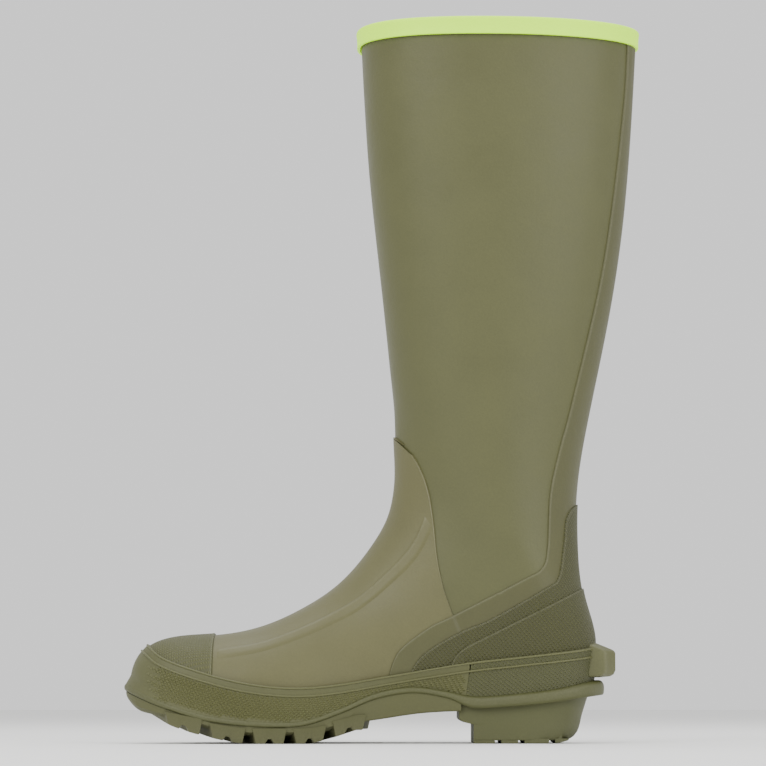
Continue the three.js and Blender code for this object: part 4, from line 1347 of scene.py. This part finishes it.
@dataclass
class Tread:
    """The outsole's plate with its chevron lugs, and the heel with its bars."""

    plate_inset: float = 1.2
    heel_inset: float = 5.0
    depth: float = 5.0  # of the grooves between lugs
    shallow: float = 3.0  # of the notch across a lug's middle
    pitch: float = 26.5
    first: float = -145.0
    lug: float = 7.1  # width of each half of a lug
    narrow: float = 4.0  # width of the notch between them
    rise: float = 0.28  # how far a lug falls back for each millimetre out to the side
    lean: float = 2.0  # how far a lug's walls spread from foot to root
    corner: float = 0.9
    scoop: float = 2.4  # how far the plate's rim rises between lugs
    lug_inset: float = 1.0
    shoulder: float = 1.4  # how far a lug's end climbs the plate's rim
    waist: float = -9.0  # x where the lugs end and the waist starts
    ground: float = 2.0  # height of the heel's walls above the floor
    web: float = 6.0  # height of the floor between the heel's bars

    def floor(self, x: np.ndarray) -> np.ndarray:
        """Gives the height of the lugs' foot at each x."""
        return np.maximum(height_on(smooth(TREAD), x), 0)

    def root(self, x: np.ndarray, depth: float) -> np.ndarray:
        """Gives the height of the grooves' floor at each x."""
        t = np.clip((x + 152) / 40, 0, 1)
        return self.floor(x) + depth * t * t * (3 - 2 * t)

    def underside(self, x: np.ndarray) -> np.ndarray:
        """Gives the plate's underside: the grooves' floor, then the waist."""
        waist = smooth([(self.waist, WAIST[0][1])] + WAIST)
        return np.where(x < self.waist, self.root(x, self.depth), height_on(waist, x))

    def plate(self) -> None:
        """Builds the plate as a closed tube of sections along the foot."""
        edge = plan_edge(self.plate_inset)
        front, back = edge[:, 0].min() + 0.02, 57.0
        x = front + (back - front) * (1 - np.cos(np.linspace(0, math.pi / 2, 150)))
        x = np.concatenate([x[:-1][np.diff(x) > 1e-4], [back]])
        medial, lateral = plan_sides(edge, x)
        across = (1 - np.cos(np.linspace(0, math.pi, 41))) / 2
        low = medial[:, None] + (lateral - medial)[:, None] * across
        width = (lateral - medial)[:, None]
        near = np.minimum(across, 1 - across)[None, :] * width
        rim = np.clip(1 - near / 11, 0, 1) ** 2
        scoop = self.scoop * rim * np.clip((self.waist - x) / 6, 0, 1)[:, None]
        z = self.underside(x)[:, None] + np.maximum(rounded(near, 1.2), scoop)
        under = np.stack([np.broadcast_to(x[:, None], low.shape), low, z], -1)
        top = height_on(smooth(WELT_LOW), x) - 0.02
        well = height_on(smooth(WELT_LOW), x) - 5.0
        share = np.clip((near - 12.5) / 1.0, 0, 1)
        height = np.maximum(top[:, None] + (well - top)[:, None] * share, z + 0.4)
        over = np.stack([under[..., 0], low, height], -1)
        uv = under[..., :2] * MM
        made = solid_between("outsole_plate", Sheet(under, uv), over, False, SOLE_RUBBER)
        settle(made, ["outsole"])

    def bar(self, name: str, start: float, width: float, rise: float, inset: float,
            foot: Callable[[np.ndarray], np.ndarray], root: Callable[[np.ndarray], np.ndarray],
            finish: Finish, slope: float = 0.0, notch: float = 0.0) -> Optional[bpy.types.Object]:
        """Builds one lug or heel bar right across the sole.

        Args:
            name: the piece's name.
            start: x of its front edge on the middle line.
            width: its width along the foot.
            rise: how much it falls back for each millimetre out to the side.
            inset: how far it stops inside the sole's edge.
            foot: gives the height of its foot at each x.
            root: gives the height at which it meets the sole.
            finish: the material.
            slope: how far its walls lean out from foot to root.
            notch: depth of the notch across its middle.

        Returns:
            The new object, or None where it would miss the sole.
        """
        edge = plan_edge(inset)
        rim = np.array([0, 0.07, 0.25, 0.5, 0.9])
        between = np.linspace(rim[-1], width - rim[-1], 20 if notch else 4)[1:-1]
        dx = np.concatenate([rim, between, width - rim[::-1]])
        ys = np.linspace(-70, 70, 1401)
        ends = []
        for d in dx:
            xs = start + d + rise * np.abs(ys)
            inner, outer = plan_sides(edge, xs)
            good = (ys > inner) & (ys < outer) & (xs > edge[:, 0].min()) & (xs < edge[:, 0].max())
            if not good.any():
                return None
            ends.append((ys[good].min(), ys[good].max()))
        low, high = np.array(ends).T
        length = (high - low)[:, None]
        middle = np.linspace(0, 1, 38)[1:-1]
        along = np.concatenate([np.broadcast_to(rim, (len(dx), 5)), rim[-1] + (length - 2 * rim[-1]) * middle,
                                length - rim[::-1]], 1)
        y = low[:, None] + along
        x = start + dx[:, None] + rise * np.abs(y)
        near = np.minimum(np.minimum(along, length - along), np.minimum(dx, width - dx)[:, None])
        middle_gap = np.abs(dx - width / 2)[:, None]
        cut = notch * np.clip((self.narrow / 2 + 1.0 - middle_gap) / 1.6, 0, 1)
        z = foot(x) + np.maximum(rounded(near, self.corner), cut)
        top = root(x) + 0.8
        face = np.stack([x, y, np.minimum(z, top - 0.05)], -1)
        lean = (2 * dx / width - 1)[:, None] * slope
        spread = np.sign(y) * np.clip(np.abs(y) / 8, 0, 1) * slope * 1.1
        base = np.stack([x + lean, y + spread, top], -1)
        # Pale rims along the bar's edges: partly worn bloom, partly a painted highlight.
        return solid_between(name, Sheet(face, face[..., :2] * MM, edge_bloom_and_highlight(near)), base, False, finish)

    def lugs(self) -> None:
        """Builds the chevron lugs, each with a shallow notch across its middle."""
        width = 2 * self.lug + self.narrow
        for number in range(6):
            start = self.first + self.pitch * number + (self.pitch - width) / 2
            if start + width > -4:
                width = -5 - start
            if width < 5:
                continue
            inset = self.plate_inset + self.lug_inset
            made = self.bar(f"tread_lug_{number}", start, width, self.rise, inset, self.floor,
                            lambda x: self.root(x, self.depth) + self.scoop + self.shoulder, SOLE_RUBBER,
                            self.lean, self.shallow)
            if made is not None:
                settle(made)

    def heel(self) -> None:
        """Builds the heel: level rings that lean at the breast and roll up at the back."""
        edge = plan_edge(self.heel_inset)
        order = np.concatenate([edge[edge[:, 1] < 0], edge[edge[:, 1] >= 0]])
        ring = order[order[:, 0] > BREAST]
        full_back = ring[:, 0].max()
        medial, lateral = plan_sides(edge, np.array([BREAST]))
        front = np.linspace(lateral[0], medial[0], 26)
        ring = np.concatenate([ring, np.column_stack([np.full(26, BREAST), front])])
        roll = smooth([(116, 0), (124, 1.6), (130, 4.6), (133.2, 9.6), (135.4, 18), (140, 31)])
        share = np.concatenate([[0, 0.02, 0.05, 0.1, 0.2, 0.3, 0.4, 0.47], np.linspace(0.48, 0.64, 12),
                                np.linspace(0.68, 1, 6)])
        rows = []
        for t in share:
            z = self.ground + t * 26.0
            back = float(np.interp(z, roll[:, 1], roll[:, 0]))
            lip = math.sqrt(max(0.0, 1 - min(1.0, max(0.0, (17.6 - z) / 2.8)) ** 2)) if z > 14.8 else 0.0
            breast = BREAST - 9.2 * lip
            x, y = ring[:, 0].copy(), ring[:, 1].copy()
            rear = x > 100
            x[rear] = 100 + (x[rear] - 100) * (back - 100) / (full_back - 100)
            x -= (BREAST - breast) * np.clip((75 - ring[:, 0]) / 10, 0, 1)
            cap = height_on(smooth(WELT_LOW), x) + 0.4
            height = self.ground + (cap - self.ground) * t
            shrink = 1 - float(rounded(np.array(26 * t), 0.8)) / 40
            rows.append(np.column_stack([95 + (x - 95) * shrink, y * shrink, height]))
        face = np.array(rows)
        inner = face.copy()
        inner[..., 0] = 95 + (face[..., 0] - 95) * 0.86
        inner[..., 1] = face[..., 1] * 0.84
        uv = length_uv(face, True)
        made = solid_between("heel_walls", Sheet(face, uv), inner, True, HEEL_RUBBER)
        settle(made, ["heel_block"])
        starts = [(BREAST, 78.4), (82.4, 93), (97, 112.6), (116.6, 125.5)]
        for number, (a, b) in enumerate(starts):
            inset = self.heel_inset + (0.3 if number < 3 else 3.0)
            bar = self.bar(f"heel_bar_{number}", a, b - a, 0.0, inset,
                           lambda x: np.interp(x, roll[:, 0], roll[:, 1], left=0),
                           lambda x: np.full_like(x, 2.4), HEEL_RUBBER)
            if bar is not None:
                settle(bar)
        web_start, web_end = BREAST + 3, 121.0
        web = self.bar("heel_web", web_start, web_end - web_start, 0.0, self.heel_inset + 3.5,
                       lambda x: np.full_like(x, self.ground), lambda x: np.full_like(x, self.web),
                       HEEL_RUBBER)
        settle(web)

    def build(self) -> None:
        """Builds the sole."""
        self.plate()
        self.lugs()
        self.heel()


@dataclass
class Spur:
    """The kick-off lug at the back of the heel."""

    width: float = 42.0
    foot: float = 42.0
    top: float = 64.0

    def build(self) -> None:
        """Builds the lug as rounded profiles from side to side."""
        level = np.array([(-170.0, 53.0), (170.0, 53.0)])
        s, a = loop_on(level, 720, 0.0)
        around = SKIN.point(s, a, 0.0)
        rear = around[around[:, 0] > 100]
        rear = rear[np.argsort(rear[:, 1])]
        back = SPUR_BACK
        side = np.array([(back - 9, self.foot), (back - 3.4, self.foot + 0.5), (back - 1.2, self.foot + 1.8),
                         (back, self.foot + 4.4), (back, self.foot + 9), (back, self.foot + 15.2),
                         (back - 0.7, self.foot + 16.6), (back - 2.2, self.foot + 17.6),
                         (back - 8, self.foot + 20), (back - 13, self.top)])
        half = self.width / 2
        steps = np.array([0, 0.1, 0.35, 0.8, 1.5, 3, 5, 7])
        y = np.concatenate([-half + steps, np.linspace(-half + 8.4, half - 8.4, 16), half - steps[::-1]])
        edge_gap = np.minimum(y + half, half - y)
        chamfer = np.maximum(0, 8.4 - edge_gap) * 0.85
        ease = rounded(edge_gap, 1.2)
        seat = np.interp(y, rear[:, 1], rear[:, 0]) + 1.2
        rows, inner = [], []
        centre = (self.foot + self.top) / 2
        for y_at, slip, cut, seat_at in zip(y, ease, chamfer, seat):
            z = centre + (side[:, 1] - centre) * (1 - slip / 11)
            x = side[:, 0] - slip - cut
            x = np.maximum(np.concatenate([[seat_at], x, [seat_at]]), seat_at)
            z = np.concatenate([[z[0]], z, [z[-1]]])
            rows.append(np.column_stack([x, np.full_like(x, y_at), z]))
            inner.append(np.column_stack([np.full_like(x, seat_at), np.full_like(x, y_at), z]))
        face = np.array(rows)
        near = np.minimum(y + half, half - y)[:, None] + np.zeros(face.shape[:2])
        # Pale rims along the lug's side edges and chamfers: partly worn bloom, partly a painted highlight.
        sheet = Sheet(face, length_uv(face, False), edge_bloom_and_highlight(near))
        made = solid_between("kick_lug_block", sheet, np.array(inner), False, LUG_RUBBER, sharp=24.0)
        settle(made, ["kick_lug"])


@dataclass
class Mouth:
    """The folded binding over the top edge and the cloth facing inside it."""

    out: float = 2.9  # face of the fold outside the skin
    inside: float = -8.2  # its face inside the leg
    fold: float = 2.2  # radius of the fold's two top corners
    thick: float = 1.5
    band: tuple[float, float] = (-7.5, -6.65)  # faces of the facing, inward and outward
    band_height: float = 30.0
    cols: int = 160

    def build(self) -> None:
        """Builds the binding as one folded strip, and the facing."""
        angles = round_angles(self.cols)
        top, foot = BINDING_TOP, BINDING_FOOT
        crown = [(math.cos(t), math.sin(t)) for t in np.linspace(0, math.pi / 2, 7)]
        outer = [(self.out - 0.5, foot), (self.out - 0.12, foot + 0.15), (self.out, foot + 0.6)]
        outer += [(self.out - 0.25 * abs(math.sin(math.pi * t)), foot + 0.6 + (top - 3.1 - foot) * t)
                  for t in np.linspace(0.1, 1, 8)]
        fold = self.fold
        outer += [(self.out - fold + fold * c, top - fold + fold * n) for c, n in crown]
        outer += [(self.inside + fold - fold * c, top - fold + fold * n) for c, n in crown[::-1]]
        outer += [(self.inside, foot + 3), (self.inside, foot + 0.5), (self.inside + 0.3, foot)]
        path = np.array(outer)
        middle = (self.out + self.inside) / 2
        hollow = path.copy()
        hollow[:, 0] = middle + (path[:, 0] - middle) * (1 - self.thick / (self.out - middle))
        hollow[:, 1] = np.minimum(path[:, 1], top - self.thick)
        faces = []
        for line in (path, hollow):
            rows = []
            for out, z in line:
                s = station_where(2, z, angles, out, 15.0, TOP - 0.001)
                rows.append(SKIN.point(s, angles, out))
            faces.append(np.array(rows))
        fold = Sheet(faces[0], length_uv(faces[0], True), np.zeros(faces[0].shape[:2]))
        made = solid_between("top_binding_fold", fold, faces[1], True, BINDING_RUBBER)
        settle(made, ["top_binding"])
        low = station_where(2, foot - 1 - self.band_height, angles, -7, 13.0, TOP - 0.001)
        high = station_where(2, foot - 1, angles, -7, 13.0, TOP - 0.001)
        s = low + (high - low) * np.linspace(0, 1, 24)[:, None]
        face_angles = np.broadcast_to(angles, s.shape)
        face, back = (SKIN.point(s, face_angles, out) for out in self.band)
        band = Sheet(face, length_uv(face, True))
        made = solid_between("top_facing_band", band, back, True, FACING_CLOTH)
        settle(made, ["top_facing"])


@dataclass
class Bed:
    """The loose footbed and its knitted cover."""

    clear: float = -7.2  # its side, outside the skin
    top: float = 12.2  # the foam's top above the skin's underside
    skin: float = 0.8  # the cover's thickness
    gap: float = 0.3

    def seat(self, rise: float) -> np.ndarray:
        """Gives the middle line of the skin's underside, raised by a height."""
        s = np.linspace(1.0, 10.6, 200)
        line = SKIN.bare(s, np.full_like(s, math.pi))[:, [0, 2]]
        return np.concatenate([[[-170, line[0, 1]]], line[line[:, 1] < 60]]) + np.array([0, rise])

    def piece(self, name: str, high: float, low: Optional[float], finish: Finish) -> bpy.types.Object:
        """Builds one layer of the footbed.

        Args:
            name: the piece's name.
            high: its top's height above the skin's underside.
            low: its underside's height, or None where it lies in the boot.
            finish: the material.

        Returns:
            The new object.
        """
        line = self.seat(high)
        scan = np.linspace(1.25, 10.9, 4000)
        angle = self.meeting(line, scan)
        good = ~np.isnan(angle)
        s = np.linspace(scan[good].min(), scan[good].max() - 0.01, 120)
        start = np.interp(s, scan[good], angle[good])
        share = (1 - np.cos(np.linspace(0, math.pi, 49))) / 2
        angles = start[:, None] + (2 * math.pi - 2 * start)[:, None] * share
        stations = np.broadcast_to(s[:, None], angles.shape)
        bowl = SKIN.point(stations, angles, self.clear)
        run = bowl[:, :1] + (bowl[:, -1:] - bowl[:, :1]) * share[None, :, None]
        deck = np.stack([run[..., 0], bowl[..., 1], height_on(line, run[..., 0])], -1)
        near = np.linalg.norm(deck - bowl, axis=-1)
        deck[..., 2] -= rounded(np.minimum(near, 3.0), 1.5) * 0.5
        if low is not None:
            floor = deck.copy()
            floor[..., 2] -= high - low
            bowl = np.where((bowl[..., 2] < floor[..., 2])[..., None], floor, bowl)
        uv = deck[..., :2] * MM
        return solid_between(name, Sheet(deck, uv), bowl, False, finish)

    def meeting(self, line: np.ndarray, s: np.ndarray) -> np.ndarray:
        """Finds the angle at which the cleared surface of each section rises through a side-view line."""
        angles = np.linspace(math.pi * 0.35, math.pi, 300)
        found = np.full(len(s), np.nan)
        for i, station in enumerate(s[::8]):
            p = SKIN.point(np.full_like(angles, station), angles, self.clear)
            under = p[:, 2] < height_on(line, p[:, 0])
            if under[-1] and not under[0]:
                found[i * 8] = angles[np.argmax(under)]
        good = ~np.isnan(found)
        within = (s >= s[good].min()) & (s <= s[good].max())
        return np.where(within, np.interp(s, s[good], found[good]), np.nan)

    def build(self) -> None:
        """Builds the foam bed and its cover, both riding on the footbed's body."""
        bed = self.piece("footbed_foam_bed", self.top, None, FOAM)
        settle(bed, ["footbed"], "footbed")
        under = self.top + self.gap
        cover = self.piece("footbed_knit_cover", under + self.skin, under, BED_CLOTH)
        settle(cover, ["footbed_cover"], "footbed")


@dataclass
class Studio:
    """The floor, the soft lights and the camera."""

    height: float = 0.025
    distance: float = 2.1997
    aside: float = 0.00774
    pitch: float = 5.374
    lens: float = 160.3
    sky: float = 1.05
    aim: tuple[float, float, float] = (0, 0, 0.2)

    def light(self, name: str, place: tuple[float, float, float], size: float, power: float) -> None:
        """Hangs one square soft light, facing the boot.

        Args:
            name: the light's name.
            place: where it hangs, in metres.
            size: its side.
            power: its power in watts.
        """
        lamp = bpy.data.lights.new(name, "AREA")
        lamp.size, lamp.energy = size, power
        made = bpy.data.objects.new(name, lamp)
        made.location = place
        made.rotation_euler = (Vector(self.aim) - Vector(place)).to_track_quat("-Z", "Y").to_euler()
        bpy.context.scene.collection.objects.link(made)

    def build(self) -> None:
        """Sets the floor, the lights, the sky and the camera."""
        floor = bpy.data.meshes.new("studio_floor")
        side = 12.0
        corners = [(-side, -side, 0), (side, -side, 0), (side, side, 0), (-side, side, 0)]
        floor.from_pydata(corners, [], [(0, 1, 2, 3)])
        floor.materials.append(FLOOR_PAINT.material())
        ground = bpy.data.objects.new("studio_floor", floor)
        bpy.context.scene.collection.objects.link(ground)
        self.light("key", (-1.3, -1.9, 1.7), 1.6, 36)
        self.light("fill", (1.7, -1.6, 1.1), 1.6, 23)
        self.light("top", (0.1, 0.3, 2.2), 1.8, 25)
        sky = bpy.data.worlds.new("studio_sky")
        sky.use_nodes = True
        sky.node_tree.nodes["Background"].inputs[0].default_value = (1, 1, 1, 1)
        sky.node_tree.nodes["Background"].inputs[1].default_value = self.sky
        bpy.context.scene.world = sky
        lens = bpy.data.cameras.new("camera")
        lens.lens, lens.sensor_width = self.lens, 36.0
        camera = bpy.data.objects.new("camera", lens)
        camera.location = (SHIFT[0] * MM + self.aside, -self.distance, self.height)
        camera.rotation_euler = (math.radians(90 + self.pitch), 0, 0)
        bpy.context.scene.collection.objects.link(camera)
        bpy.context.scene.camera = camera


def paint_hidden() -> None:
    """Gives the hidden inner parts of the frame their materials."""
    for name, finish, slot in (
        ("insole_board", BOARD, "fibre_board"),
        ("heel_stiffener", STIFFENER_SHEET, "stiffener_sheet"),
        ("filler", SPONGE, "sponge_rubber"),
        ("shank", STEEL, "shank_steel"),
        ("heel_core", SPONGE, "sponge_rubber"),
    ):
        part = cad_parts[name]
        part.data.materials.clear()
        part.data.materials.append(finish.material())


def main() -> None:
    """Builds the boot and its setting."""
    logging.basicConfig(level=logging.INFO, format="%(name)s %(message)s")
    Carcass().build()
    Plies().build()
    Sidewall().build()
    Tread().build()
    Spur().build()
    Mouth().build()
    Bed().build()
    paint_hidden()
    Studio().build()


if __name__ == "__main__":
    main()
